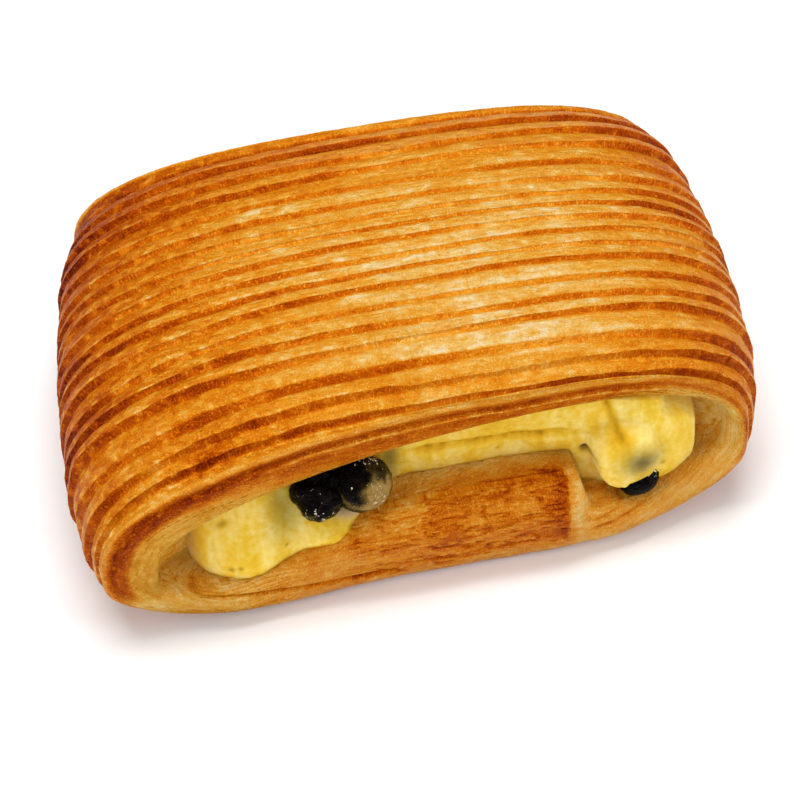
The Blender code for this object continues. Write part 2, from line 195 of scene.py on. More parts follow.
# Folds along X: height at the middle, slope, half width, and where each fades in and out
FRONT_FOLD = (27.3, -0.03, 0.9, (-8.0, 0.0), (30.0, 22.0))
BACK_FOLD = (28.0, 0.04, 0.9, (-34.0, -26.0), (12.0, 4.0))
LOBE_CENTRE = (35.7, 20.8)                  # the lobe over the drop on the right
LOBE_HALF = (6.2, 6.9)
LOBE_FRONT = -42.1
LOBE_WRINKLES = ((32.0, 16.0, 3.0, 3.5, 0.15),)
PITS = ((28.6, 21.9, 0.9, 1.0, 1.0), (-48.0, 17.4, 1.2, 0.9, 0.8))
STAINS = ((38.2, 21.6, 3.8, 3.2, 0.9), (-8.6, 27.0, 1.8, 6.0, 0.75), (-30.0, 24.0, 3.0, 7.0, 0.5))
SMUDGE = (-40.9, 22.3)                      # a slanting smudge of chocolate
SPECKS = ((-40.4, 13.4, 0.5, 0.5, 1.0), (-38.8, 13.8, 0.4, 0.4, 1.0), (42.6, 18.7, 0.5, 0.5, 1.0),
          (-30.0, 16.5, 0.3, 0.3, 1.0), (12.0, 24.0, 0.3, 0.3, 1.0))
CUSTARD_INSET = -0.12                       # the custard sticks to the dough, so it just enters it
CUSTARD_COLUMNS = 280
CUSTARD_ROWS = (110, 8, 70, 8)              # up the front, over the top, down the back and below
FRONT_SPREAD = (2.0, 0.55)                  # how far its faces spread in the mouths' flare, left and right
BACK_SPREAD = (1.25, 2.75)

# The chocolate drops: centre, half sizes, seed, unevenness, how far drawn out, and what lies on them, custard
# film and pale specks, some of which are painted glints
DROPS = {
    "chocolate_drop_front_left": ((-23.2, -38.4, 25.4), (4.6, 4.3, 5.6), 41, 0.20, 0.1, "bare"),
    "chocolate_drop_front_middle": ((-14.9, -38.2, 25.9), (5.8, 4.9, 5.9), 42, 0.05, 0.0, "film"),
    "chocolate_drop_front_right": ((38.2, -38.2, 14.6), (4.4, 4.1, 3.9), 43, 0.04, 0.0, "beads"),
    "chocolate_drop_back_left": ((-20.0, 37.0, 24.0), (4.4, 4.4, 4.4), 44, 0.10, 0.0, "bare"),
    "chocolate_drop_back_right": ((18.0, 35.8, 26.6), (4.2, 4.6, 4.3), 45, 0.08, 0.0, "film"),
}
DROP_FACE = (0.739, 0.674)                  # the face's own up, along Y and Z
DROP_WAVES = (1.7, 3.1, 8.0)                # waves of a drop's unevenness over its half size
DROP_TURN = (0.9, (0.6, 0.5, 0.62))         # angle and axis that turn its noise, so that no grid shows

CENTRE_SHIFT = (0.45, 0.83)                 # brings the middle of the loaf's box over the origin

# Spacing of the columns of points round the section
COLUMN_STEP = 0.62
UNDERSIDE_FROM = -0.86                      # below this share of the section's height
UNDERSIDE_KEPT = 5                          # one column in five is enough there
FLAP_END_STEP = 0.25


def signed_power(value, power):
    """Raise the size of a value to a power and keep its sign."""
    return np.sign(value) * np.abs(value) ** power


def smooth_step(low, high, value):
    """Go smoothly from 0 at low to 1 at high."""
    part = np.clip((value - low) / (high - low), 0.0, 1.0)
    return part * part * (3.0 - 2.0 * part)


def hump(value, centre, width):
    """Give a soft bump of height 1 round a centre."""
    return np.exp(-((value - centre) / width) ** 2)


def spots(across, up, places):
    """Add up soft spots, each given by its centre, its half sizes and its height."""
    total = 0.0
    for centre_across, centre_up, half_across, half_up, height in places:
        total = total + height * hump(across, centre_across, half_across) * hump(up, centre_up, half_up)
    return total


def line_through(points, value):
    """Read a value off a line through a few points."""
    places, levels = zip(*points)
    return np.interp(value, places, levels)


def noise(x, y, z, seed):
    """Give soft noise from -1 to 1 at points in space, the same each run."""
    size = 64
    table = np.random.default_rng(seed).uniform(-1.0, 1.0, (size, size, size))
    whole = [np.floor(value).astype(int) for value in (x, y, z)]
    part = [value - corner for value, corner in zip((x, y, z), whole)]
    part = [p * p * (3.0 - 2.0 * p) for p in part]
    total = 0.0
    for i in (0, 1):
        for j in (0, 1):
            for k in (0, 1):
                weight = np.abs(1 - i - part[0]) * np.abs(1 - j - part[1]) * np.abs(1 - k - part[2])
                corner = table[(whole[0] + i) % size, (whole[1] + j) % size, (whole[2] + k) % size]
                total = total + weight * corner
    return total


def trend(size, parts, s):
    """Change a size from front to back."""
    return size * (1.0 + parts[0] * s + parts[1] * s ** 2 + parts[2] * s ** 6)


def section_x(t, s):
    """Give the skin's sideways place and its height in its section, from -1 to 1."""
    back = (s + 1.0) / 2.0
    left = SQUARENESS_LEFT[0] + (SQUARENESS_LEFT[1] - SQUARENESS_LEFT[0]) * back
    right = SQUARENESS_RIGHT[0] + (SQUARENESS_RIGHT[1] - SQUARENESS_RIGHT[0]) * back
    above = np.where(np.cos(t) < 0.0, left, right)
    power = np.where(np.sin(t) >= 0.0, above, SQUARENESS_BELOW)
    return signed_power(np.cos(t), 2.0 / power), signed_power(np.sin(t), 2.0 / power)


def plain_skin(t, s):
    """Give the skin without its ridges: t runs round the section and s from front to back."""
    across, up = section_x(t, s)
    height = trend(HEIGHT, HEIGHT_TREND, s) + BASE_CUT
    above = WIDEST_HEIGHT + (height - WIDEST_HEIGHT) * up
    z = np.where(up >= 0.0, above, WIDEST_HEIGHT * (1.0 + up))
    x = trend(HALF_LENGTH, LENGTH_TREND, s) * across + END_SKEW * s
    fan = 1.0 + FRONT_FAN[0] * np.clip(-across, 0, 1) ** 2 + FRONT_FAN[1] * np.clip(across, 0, 1) ** 2
    y = HALF_DEPTH * s * np.where(s < 0.0, fan, 1.0)
    return np.stack([x, y, np.maximum(z - BASE_CUT, 0.0)], axis=-1)


def skin_normal(t, s):
    """Give the direction that points out of the skin."""
    small = 1e-3
    along = plain_skin(t + small, s) - plain_skin(t - small, s)
    back = plain_skin(t, s + small) - plain_skin(t, s - small)
    out = np.cross(along, back)
    return -out / np.maximum(np.linalg.norm(out, axis=-1, keepdims=True), 1e-9)


FINE_ANGLES = np.linspace(0.0, 2.0 * math.pi, 8001)
FINE_STEPS = np.linalg.norm(np.diff(plain_skin(FINE_ANGLES, 0.0), axis=0), axis=1)
FINE_LENGTHS = np.concatenate([[0.0], np.cumsum(FINE_STEPS)])


def length_round(t):
    """Give how far round the section a column lies."""
    return np.interp(t, FINE_ANGLES, FINE_LENGTHS)


def round_place(t):
    """Give a column's place on a circle as long as the section is round, so that patterns meet."""
    radius = FINE_LENGTHS[-1] / (2.0 * math.pi)
    turn = length_round(t) / radius
    return radius * np.cos(turn), radius * np.sin(turn)


def ring_noise(t, size, across, seed):
    """Give soft noise that runs round the section without a seam; size is its length in millimetres."""
    x, y = round_place(t)
    return noise(x / size, y / size, across, seed)


def dough_pattern(t, across, name, shift=0.0):
    """Give one of the dough's patterns; shift takes it from another place."""
    length, width, seed = PATTERNS[name]
    return ring_noise(t, length, across / width + shift, seed)


def section_angles():
    """Space the columns round the section: evenly, and close at the end of the flap."""
    middle = (FINE_ANGLES[1:] + FINE_ANGLES[:-1]) / 2.0
    x = section_x(middle, 0.0)[0] * HALF_LENGTH
    flap_end = hump(x, FLAP_END + 1.3, 3.0) * (np.sin(middle) < 0.0)
    step = COLUMN_STEP + (FLAP_END_STEP - COLUMN_STEP) * flap_end
    count = np.concatenate([[0.0], np.cumsum(FINE_STEPS / step)])
    number = int(round(count[-1]))
    return np.interp(np.arange(number) / number * count[-1], count, FINE_ANGLES)


def crust_angles(t):
    """Keep every column that shows, and few on the underside."""
    above = np.sin(t) > UNDERSIDE_FROM
    return t[above | (np.arange(len(t)) % UNDERSIDE_KEPT == 0)]


def ridge_share(t):
    """Fade the ridges out under the loaf, where it lies on the tray."""
    return smooth_step(-0.85, -0.35, np.sin(t))


def grooves(t):
    """Give the place of each groove from front to back, as s, for each column."""
    across = (section_x(t, 0.0)[0] + 1.0) / 2.0
    left = FIRST_GROOVE + np.concatenate([[0.0], np.cumsum(RIDGES_LEFT)])
    right = FIRST_GROOVE + np.concatenate([[0.0], np.cumsum(RIDGES_RIGHT)])
    number = np.arange(len(left))
    place = left + (right - left) * across[:, None]
    place = place + 0.25 * np.sin(3.0 * t[:, None] + 1.7 * number) * (number > 0)
    for seed, (length, reach) in enumerate(WAVER):
        waves = [ring_noise(t, length, 3.7 * ridge, seed) for ridge in number]
        place = place + reach * np.stack(waves, axis=1)
    return place / HALF_DEPTH


def lip_reach(t, reach, waves, swells=()):
    """Give how far a lip reaches along Y, round the section."""
    place = reach + waves[0] * np.cos(t) + waves[1] * np.sin(t) + waves[2] * np.sin(2.0 * t)
    for angle, width, more in swells:
        place = place + more * hump(np.degrees(t), angle, width)
    return place


def flap_height(x):
    """Give the height of the flap's upper side."""
    return FLOOR_LEFT + FLAP_RISE * smooth_step(FLAP_FROM, FLAP_FULL, x)


def hollow_floor(x, inset=0.0):
    """Give the height of the hollow's floor: the flap, and the bottom layer beyond its end."""
    flap = flap_height(x)
    end = FLAP_END + inset
    past = smooth_step(end, end + FLAP_END_WIDTH, x)
    right = FLOOR_RIGHT + FLOOR_RAMP * smooth_step(RAMP_ENDS[0], RAMP_ENDS[1], x)
    return flap + (right - flap) * past + inset


def hollow_middle(x):
    """Give the height of the hollow's widest line."""
    return MIDDLE_HEIGHT + MIDDLE_TILT * x / HOLLOW_RIGHT


def hollow_ceiling(x):
    """Give the height of the hollow's ceiling, which comes down to the left."""
    return CEILING - CEILING_DROP * smooth_step(-10.0, -48.0, x) - SAG * hump(x, SAG_AT, SAG_WIDTH)


def hollow_wall(t, flare):
    """Give the hollow's outline in X and Z; flare is 1 at a mouth and 0 inside."""
    across = signed_power(np.cos(t), 2.0 / HOLLOW_POWER)
    up = signed_power(np.sin(t), 2.0 / HOLLOW_POWER)
    x = np.where(across < 0.0, HOLLOW_LEFT, HOLLOW_RIGHT) * across
    middle = hollow_middle(x)
    reach = np.where(up >= 0.0, hollow_ceiling(x) - middle, middle - hollow_floor(x))
    widening = np.where(across < 0.0, MOUTH_FLARE[0], MOUTH_FLARE[1]) * signed_power(across, 5.0)
    return x + flare * widening, middle + reach * up


def hollow_limits(x, inset, right_power=HOLLOW_POWER):
    """Give the floor and the ceiling of the hollow at x, both moved in by inset."""
    half = np.where(x < 0.0, HOLLOW_LEFT, HOLLOW_RIGHT) - inset
    part = np.clip(np.abs(x) / half, 0.0, 1.0)
    power = np.where(x < 0.0, HOLLOW_POWER, right_power)
    open_share = (1.0 - part ** power) ** (1.0 / power)
    middle = hollow_middle(x)
    low = middle + (hollow_floor(x, inset) - middle) * open_share
    high = middle + (hollow_ceiling(x) - inset - middle) * open_share
    return low, high


# The dough: each row of points is a table of x, y, z, tan, cut, lift and across
# tan is how brown it is baked, cut is 1 where the layers lie open, and lift is its fine relief.


def make_row(point, tan, cut, lift, across):
    """Put one row of points and its marks together."""
    columns = len(point)
    marks = [np.broadcast_to(mark, columns) for mark in (tan, cut, lift, across)]
    return np.column_stack([point] + marks)


def ridge_strength(x, s):
    """Give how deep the scoring is: deep at the ends and the front, shallow on top."""
    left = smooth_step(5.0, -48.0, x) * (0.45 + 0.4 * smooth_step(0.0, -0.7, s))
    right = 0.55 * smooth_step(20.0, 62.0, x)
    front = 0.65 * smooth_step(-0.35, -0.85, s)
    back = 0.50 * smooth_step(0.30, 0.85, s)
    return 0.35 + 0.65 * np.clip(left + right + front + back, 0.0, 1.0)


def plateau_tan(x, s):
    """Give how brown the ridges' tops are: palest right of the middle, browner towards every edge."""
    back = BACK_BAKE * smooth_step(0.10, 0.85, s) * (1.0 - 0.4 * smooth_step(20.0, 50.0, x))
    front = FRONT_BAKE * smooth_step(-0.50, -0.95, s) * smooth_step(-58.0, -35.0, x)
    corner = 0.17 * smooth_step(-42.0, -58.0, x) * smooth_step(-0.35, -0.75, s)
    return line_through(TOP_BAKE, x) + back + front - corner


def skin_marks(t, x, s, line, crest, number):
    """Give the skin's bake and its fine relief.

    line is 1 in a groove and crest is 1 along the sharp edge behind it. The grooves stand out less
    where all is brown, and blisters are paler than the bake round them. Glints along the crests and
    flecks, most on the ends, are painted highlights: paler bake that also rises a little.
    """
    across = HALF_DEPTH * s
    soft = dough_pattern(t, across, "cloud", 40.0) + 0.7 * dough_pattern(t, across, "small cloud")
    blister = smooth_step(0.30, 0.62, dough_pattern(t, across, "blister"))
    blister = blister * (1.0 - np.clip(line, 0.0, 1.0))
    torn = smooth_step(-0.35, -0.15, dough_pattern(t, across, "torn skin"))
    flakes = spots(x, across, FLAKED_SKIN)
    curled = 4.0 * flakes * torn * (1.0 - torn)
    flakes = flakes * torn
    # A pale band along the front, partly paler dough and partly a painted sheen of the top light
    cream_and_painted_sheen = hump(across, *CREAM_AND_SHEEN_BAND) * smooth_step(-24.0, 6.0, x) * smooth_step(60.0, 44.0, x)
    cream_and_painted_sheen = cream_and_painted_sheen * (0.75 + 0.5 * dough_pattern(t, across, "cream_and_painted_sheen"))
    end = smooth_step(-5.0, -50.0, x) + 0.6 * smooth_step(40.0, 62.0, x)
    # Painted highlights: glints along the crests and flecks are paler than the bake; both also raise small
    # beads
    painted_glint = crest * smooth_step(-0.05, 0.35, ring_noise(t, 0.8, 2.3 * number, 13))
    painted_glint = painted_glint * (0.35 + 0.65 * end)
    painted_glint_fleck = smooth_step(0.18, 0.5, dough_pattern(t, across, "painted_glint_fleck")) * (0.3 + 0.7 * end)
    faint = 0.20 * end + 0.25 * smooth_step(-20.0, -50.0, x) * smooth_step(-0.4, 0.1, s)
    tan = plateau_tan(x, s) + 0.05 * soft + LINE_BAKE * (1.0 - faint) * line
    bubbled = 0.09 + 0.09 * smooth_step(-20.0, -48.0, x) * smooth_step(0.0, -0.5, s)
    tan = tan - bubbled * blister - 0.22 * painted_glint - 0.17 * painted_glint_fleck
    tan = tan + 0.22 * spots(x, across, DARK_BLOT) - 0.24 * flakes + 0.20 * curled - 0.12 * cream_and_painted_sheen
    lift = 0.10 * dough_pattern(t, across, "puff") + 0.08 * (blister + painted_glint + painted_glint_fleck)
    return tan, lift + 0.25 * flakes - 0.28


def skin_rows(t):
    """Give the rows of the scored, glazed skin from the front lip to the back lip."""
    groove = grooves(t)
    share = ridge_share(t)
    front = lip_reach(t, FRONT_REACH, FRONT_WAVES, FRONT_SWELLS)
    back = lip_reach(t, BACK_REACH, BACK_WAVES)
    fan = plain_skin(t, -1.0)[:, 1] / -HALF_DEPTH
    front_edge = groove[:, 0] + SKIN_TURN * (front / HALF_DEPTH / fan - groove[:, 0])
    back_edge = groove[:, -1] + SKIN_TURN * (back / HALF_DEPTH - groove[:, -1])
    rows = []

    def add_skin(s, lift, line, crest, number):
        """Add one row; the underside is plain and evenly browned."""
        plain = plain_skin(t, s)
        tan, puff = skin_marks(t, plain[:, 0], s, line, crest, number)
        tan = tan * share + 0.5 * (1.0 - share)
        point = plain + skin_normal(t, s) * (share * lift)[:, None]
        rows.append(make_row(point, tan, 0.0, puff * (0.3 + 0.7 * share), HALF_DEPTH * s))

    for step in ROLL_STEPS:
        s = front_edge + step * (groove[:, 0] - front_edge)
        strength = ridge_strength(plain_skin(t, s)[:, 0], s)
        line = smooth_step(0.50, 1.0, step)
        add_skin(s, RIDGE_HEIGHT * (1.0 - step ** 2.2 * strength), line, hump(step, 0.30, 0.2), 60.0)
    for ridge in range(groove.shape[1] - 1):
        start = groove[:, ridge]
        width = groove[:, ridge + 1] - start
        strength = ridge_strength(plain_skin(t, start)[:, 0], start)
        wave = ring_noise(t, 6.0, ridge * 5.3, 10)
        fade = np.clip(1.0 + 0.9 * ring_noise(t, 22.0, ridge * 2.9, 11) + 0.25 * wave, 0.25, 1.7)
        ahead = np.clip(1.0 + 0.9 * ring_noise(t, 22.0, (ridge + 1) * 2.9, 11), 0.25, 1.7)
        crest = SLOPE_SHARE[0] + SLOPE_SHARE[1] * strength * fade + 0.02 * wave
        size = (1.0 + 0.18 * math.sin(2.3 * ridge)) * strength * RIDGE_HEIGHT * (1.0 + 0.2 * wave)
        for step in SLOPE_STEPS:
            line = fade * (1.0 - 0.35 * step ** 2)
            add_skin(start + width * crest * step, size * step ** 1.25, line, 0.0, ridge)
        for step in TOP_STEPS:
            top = 1.0 + 0.10 * math.sin(math.pi * step) - step ** 2.4
            line = 0.85 * ahead * smooth_step(0.76, 1.0, step) ** 1.3
            line = line + 0.45 * fade * smooth_step(0.09, 0.0, step)
            sharp = smooth_step(0.16, 0.03, abs(step - 0.05))
            add_skin(start + width * (crest + (1.0 - crest) * step), size * top, line, sharp, ridge)
    for step in ROLL_STEPS:
        s = groove[:, -1] + step * (back_edge - groove[:, -1])
        add_skin(s, RIDGE_HEIGHT * step ** 0.6, 1.0 - smooth_step(0.0, 0.3, step), 0.0, 70.0)
    add_skin(back_edge, RIDGE_HEIGHT, 0.0, 0.0, 70.0)
    return rows, front, back


def flap_relief(x, z):
    """Push the flap's edge out past the bottom layer."""
    below = smooth_step(BULGE_HEIGHT + 2.0 * BULGE_WIDTH, BULGE_HEIGHT, z)
    along = smooth_step(-HOLLOW_LEFT, FLAP_FROM, x) * smooth_step(FLAP_END + 2.4, FLAP_END - 0.6, x)
    rise = BULGE_DEPTH * hump(z, BULGE_HEIGHT, BULGE_WIDTH) * smooth_step(FLAP_FROM, FLAP_FULL, x)
    return below * along * rise


def crease(x, z):
    """Give the depth of the crease between the bottom layer and the flap."""
    near = hump(z, line_through(CREASE_LINE, x), CREASE_WIDTH)
    return CREASE_DEPTH * near * smooth_step(-59.0, -54.0, x) * smooth_step(-6.0, -20.0, x)


def lip_rows(t, edge, end, reach, outward):
    """Turn the skin's edge over the lip and in to the hollow's edge.

    outward is -1 for the front lip and 1 for the back lip. Below the hollow the rows soon stand
    upright over each other, so that the end of the flap is square.
    """
    below = smooth_step(-0.2, -0.5, np.sin(t))
    parts = np.linspace(0.0, 1.0, LIP_ROWS + 2)[1:-1]
    start = edge[:, :3]
    points = []
    for part in parts:
        share = 0.5 - 0.5 * math.cos(math.pi * part)
        row = start + (end - start) * share
        upright = share + (smooth_step(0.0, 0.4, part) - share) * below
        row[:, 0] = start[:, 0] + (end[:, 0] - start[:, 0]) * upright
        bulge = math.sin(math.pi * part) ** LIP_ROUNDNESS
        row[:, 1] += (reach - row[:, 1]) * bulge
        row[:, 1] += outward * bulge * flap_relief(row[:, 0], row[:, 2])
        points.append(row)
    steps = np.linalg.norm(np.diff(np.array([start] + points), axis=0), axis=-1)
    across = np.cumsum(steps, axis=0)
    rows = []
    for number, point in enumerate(points):
        marks = np.stack(lip_marks(t, point, across[number], outward), axis=-1)
        marks[:, 2] *= smooth_step(1.0, 0.5, parts[number])
        share = smooth_step(0.0, JOIN_WIDTH, across[number])[:, None]
        marks = edge[:, 3:6] + (marks - edge[:, 3:6]) * share
        rows.append(np.column_stack([point, marks, edge[:, 6] + outward * across[number]]))
    return rows


def open_layers(t, across, wander, side):
    """Give the bake and the lift of open layers: each laps a little over the next, its edge toasted."""
    lap = (across + 1.3 * wander) / LAYER_PITCH + 0.5 * dough_pattern(t, across, "layer wave", side)
    lap = lap - np.floor(lap)
    shown = smooth_step(-0.35, 0.25, dough_pattern(t, across, "layer shown", side))
    tan = shown * (0.30 * smooth_step(0.24, 0.0, lap) - 0.12 * smooth_step(0.35, 0.9, lap))
    return tan, shown * (0.24 * (0.5 - lap) - 0.10 * smooth_step(0.10, 0.0, lap))


def upper_lip(t, x, across, outward, noises, layers):
    """Give the marks over a mouth: the last ridge, a thin crest and the glazed edge, then open layers.
    Painted highlights make the thin crest and, on the left, the glazed edge paler in spots.
    """
    wander, fine, rough = noises
    layer_tan, layer_lift = layers
    place = across + 0.5 * wander
    covered = line_through(COVERED_FRONT if outward < 0.0 else COVERED_BACK, x)
    cut = smooth_step(covered - 0.5, covered + 0.5, place + 0.3 * rough)
    left = smooth_step(-22.0, -42.0, x)
    right = smooth_step(36.0, 50.0, x)
    tan = line_through(LIP_BAKE, place) * (1.0 - left - right)
    tan = tan + left * line_through(LIP_BAKE_LEFT, place)
    tan = tan + right * line_through(LIP_BAKE_RIGHT, place)
    tan = tan + 0.06 * rough + 0.05 * fine + cut * (layer_tan + 0.14 * left)
    # Painted highlights: pale glints on the thin crest and wet-looking ones on the left's glazed band
    painted_wet_glint = smooth_step(0.30, 0.6, dough_pattern(t, across, "painted_wet_glint", LIP_APART * outward))
    thin = smooth_step(0.1, 0.5, ring_noise(t, 0.9, LIP_APART * outward, 33))
    painted_glint = hump(place, 4.2, 0.35) * (1.0 - left) * thin + 0.9 * left * painted_wet_glint * hump(place, 3.6, 1.3)
    lift = (1.0 - cut) * line_through(LIP_RELIEF, place) * (1.0 - right) + cut * layer_lift
    return tan - 0.22 * painted_glint, cut, lift + 0.07 * rough - 0.34


def lower_lip(t, point, across, outward, noises, layers):
    """Give the marks below a mouth: the flap's browned front with its pale end, and the bottom layer."""
    x, y, z = point.T
    fine, rough = noises[1:]
    layer_tan, layer_lift = layers
    side = LIP_APART * outward

    # The browned, crinkled front of the flap, and the shelf behind its upper edge
    top_edge = 0.6 * ring_noise(t, 6.0, side, 26) - PANEL_TOP
    top_edge = top_edge + 0.6 * noise(x / 1.4, y / 0.8, side, 36)
    on_flap = smooth_step(FLAP_END + 1.0, FLAP_END - 1.0, x)
    panel = smooth_step(*PANEL_START, x + 6.0 * fine)
    panel = panel * smooth_step(FLAP_END - 1.6, FLAP_END - 2.2, x + 0.4 * rough)
    panel = panel * smooth_step(top_edge + 0.6, top_edge - 0.6, -outward * y)
    panel = panel * smooth_step(3.2, 5.8, z + 0.9 * rough - 0.05 * x)
    if outward > 0.0:
        panel = 0.6 * panel
    shelf = smooth_step(-22.0, -12.0, x) * on_flap
    shelf = shelf * smooth_step(top_edge - 0.6, top_edge + 0.6, -outward * y)
    slant = z - outward * y
    wave = slant + 0.7 * noise(x / 9.0, slant / 4.0, side, 30)
    wave = wave + 0.25 * noise(x / 2.5, slant / 2.0, side, 34)
    crinkle = np.abs(noise(x / CRINKLE_SIZE[0], wave / CRINKLE_SIZE[1], side, 24))
    crinkle = smooth_step(0.32, 0.0, crinkle)
    # Painted highlights: pale flecks on the crinkles' crests stand in for glints; they also rise a little
    crest = smooth_step(0.20, 0.5, noise(x / PAINTED_CREST_GLINT_SIZE[0], wave / PAINTED_CREST_GLINT_SIZE[1], side, 31))
    dark = 1.2 * hump(x, FLAP_END - 3.4, 3.0) + spots(x, z, PANEL_SPOTS)

    # What lies round it: the flap's pale end, the crease, darkened with painted shade, the folded right part
    # and the steamed left end
    end_band = hump(x, FLAP_END + 0.1, 1.4)
    beyond = smooth_step(FLAP_END + 0.6, FLAP_END + 3.0, x)
    rim = smooth_step(3.6, 0.8, across) * (0.5 + 0.8 * smooth_step(-20.0, -44.0, x))
    deep = crease(x, z) * smooth_step(38.5, 41.0, outward * y)
    fold = spots(x, z, DARK_FOLD)
    slits_and_painted_shade = 0.0
    for height, slope, half_width, strength in SLANTING_CUTS:
        slits_and_painted_shade = slits_and_painted_shade + strength * hump(z, height + slope * (x - SLANT_START), half_width)
    slits_and_painted_shade = slits_and_painted_shade * smooth_step(27.5, 29.5, x) * smooth_step(41.0, 37.0, x) * (1.0 + 0.5 * rough)
    steamed = smooth_step(-34.0, -42.0, x)
    browned = smooth_step(-36.0, -22.0, x) * on_flap * (1.0 - shelf)
    open_share = (1.0 - panel) * (1.0 - shelf) * (1.0 - end_band)
    open_share = open_share * (1.0 - 0.6 * beyond) * (1.0 - 0.9 * browned)

    tan = 0.31 + panel * (0.14 + 0.20 * dark) - 0.13 * end_band + 0.36 * rim + 0.09 * shelf
    tan = tan - 0.04 * beyond * smooth_step(2.0, 6.0, across)
    tan = tan + 0.26 * crinkle * panel - 0.13 * crest * panel + 0.04 * fine + 0.05 * rough
    # Painted shade darkens the slanting cuts
    tan = tan + 0.10 * fold + 0.24 * slits_and_painted_shade - 0.06 * steamed
    tan = tan + browned * (0.02 + 0.06 * smooth_step(12.0, 5.0, z))
    tan = tan + 0.12 * browned * (1.0 - panel) * (crinkle - 0.3)
    tan = tan - spots(x, slant, GOLDEN_SPOT) + open_share * layer_tan
    # Painted shade darkens the crease
    tan = tan + 0.34 * deep / CREASE_DEPTH + 0.14 * smooth_step(1.6, 0.2, z)
    tan = tan + 0.36 * smooth_step(7.5, 2.5, z) * smooth_step(-28.0, -48.0, x)
    cut = 0.30 - 0.35 * np.maximum(panel, browned) - 0.30 * shelf - 0.4 * fold + 0.10 * end_band
    cut = np.clip(cut + 0.5 * steamed + 0.2 * rough, 0.0, 1.0)
    lift = panel * (0.14 * crest - 0.26 * crinkle) + 0.8 * open_share * layer_lift - 0.22 * slits_and_painted_shade
    lift = lift - deep + 0.22 * dough_pattern(t, z, "lip swell", side) - 0.57
    return tan, cut, lift


def lip_marks(t, point, across, outward):
    """Give a lip's bake, how open its layers lie and its fine relief, from where its points lie."""
    side = LIP_APART * outward
    wander = 0.7 * ring_noise(t, 13.0, side, 20) + 0.3 * ring_noise(t, 4.0, side, 21)
    fine = dough_pattern(t, across + wander, "fine", 9.0 * side)
    rough = dough_pattern(t, across, "rough", 9.0 * side)
    noises = (wander, fine, rough)
    layers = open_layers(t, across, wander, side)
    upper = upper_lip(t, point[:, 0], across, outward, noises, layers)
    lower = lower_lip(t, point, across, outward, noises, layers)
    low = smooth_step(-0.05, -0.40, np.sin(t))
    return [above + (below - above) * low for above, below in zip(upper, lower)]


def wall_rows(t, reach, inward):
    """Give the rows on the hollow's wall, from a mouth inwards along Y to the hollow's middle."""
    rows = []
    for part in FLARE_STEPS:
        x, z = hollow_wall(t, smooth_step(1.0, 0.0, part))
        closed = smooth_step(0.0, FUNNEL_DEPTH, part)
        for start, full, shift in FUNNEL:
            x = x + closed * shift * smooth_step(start, full, x)
        high = closed * smooth_step(*UPPER_PART, z)
        z = z - CORNER_DROP[2] * high * smooth_step(*CORNER_DROP[:2], x)
        x = x - CORNER_SHIFT[2] * high * smooth_step(*CORNER_SHIFT[:2], x)
        depth = part * FLARE_DEPTH
        point = np.stack([x, reach + inward * (WALL_START + depth), z], axis=-1)
        glazed = smooth_step(*WALL_GLAZED, x)
        rows.append(make_row(point, WALL_BAKE + 0.02 * glazed, 1.0 - 0.8 * glazed, 0.0, depth))
    x, z = hollow_wall(t, 0.0)
    rows.append(make_row(np.stack([x, 0.0 * x, z], axis=-1), WALL_BAKE, 1.0, 0.0, 3.0 * FLARE_DEPTH))
    return rows


def mouth_rows(t, edge, reach, outward):
    """Give a mouth's rows, from the skin's edge over the lip and on to the hollow's middle."""
    wall = wall_rows(t, reach, -outward)
    lip = lip_rows(t, edge, wall[0][:, :3], reach, outward)
    join = lip[-1]
    for row in wall:
        depth = row[:, 6].copy()
        across = outward * (join[:, 6] - edge[:, 6]) + depth
        marks = np.stack(lip_marks(t, row[:, :3], across, outward)[:2], axis=-1)
        row[:, 3:5] = marks + (row[:, 3:5] - marks) * smooth_step(*WALL_BLEND, depth)[:, None]
        row[:, 6] = join[:, 6] + outward * depth
    return lip + wall


def dough_sheet(t):
    """Give all rows of the dough's sheet in order round it, and how many belong to each stretch."""
    skin, front, back = skin_rows(t)
    back_mouth = mouth_rows(t, skin[-1], back, 1.0)
    front_mouth = mouth_rows(t, skin[0], front, -1.0)
    rows = skin + back_mouth + front_mouth[-2::-1]
    counts = [len(skin), len(back_mouth), len(front_mouth) - 1]
    sheet = np.array(rows)
    sheet[:, :, :3] += grid_normals(sheet[:, :, :3]) * sheet[:, :, 5:6]
    sheet[:, :, 2] = np.maximum(sheet[:, :, 2], 0.0)
    return sheet, counts


def grid_normals(points):
    """Give the outward normals of a grid of points that closes both ways."""
    down = np.roll(points, -1, axis=0) - np.roll(points, 1, axis=0)
    side = np.roll(points, -1, axis=1) - np.roll(points, 1, axis=1)
    out = np.cross(down, side)
    return out / np.maximum(np.linalg.norm(out, axis=-1, keepdims=True), 1e-9)


def to_metres(points):
    """Move points to the part's own origin and turn millimetres to metres."""
    return (points + np.array([CENTRE_SHIFT[0], CENTRE_SHIFT[1], 0.0])) * MM


def grid_faces(rows, columns):
    """List the faces of a grid whose columns close and whose rows don't."""
    row, column = np.meshgrid(np.arange(rows - 1), np.arange(columns), indexing="ij")
    after = (column + 1) % columns
    corners = [row * columns + column, (row + 1) * columns + column]
    corners = corners + [(row + 1) * columns + after, row * columns + after]
    return np.stack(corners, axis=-1).reshape(-1, 4)


def add_piece(name, mesh, material, node):
    """Put a finished mesh in the scene as a piece of the pastry."""
    mesh.name = name
    mesh.materials.clear()
    mesh.materials.append(material)
    piece = bpy.data.objects.new(name, mesh)
    bpy.context.scene.collection.objects.link(piece)
    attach(piece, "root")
    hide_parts(node)


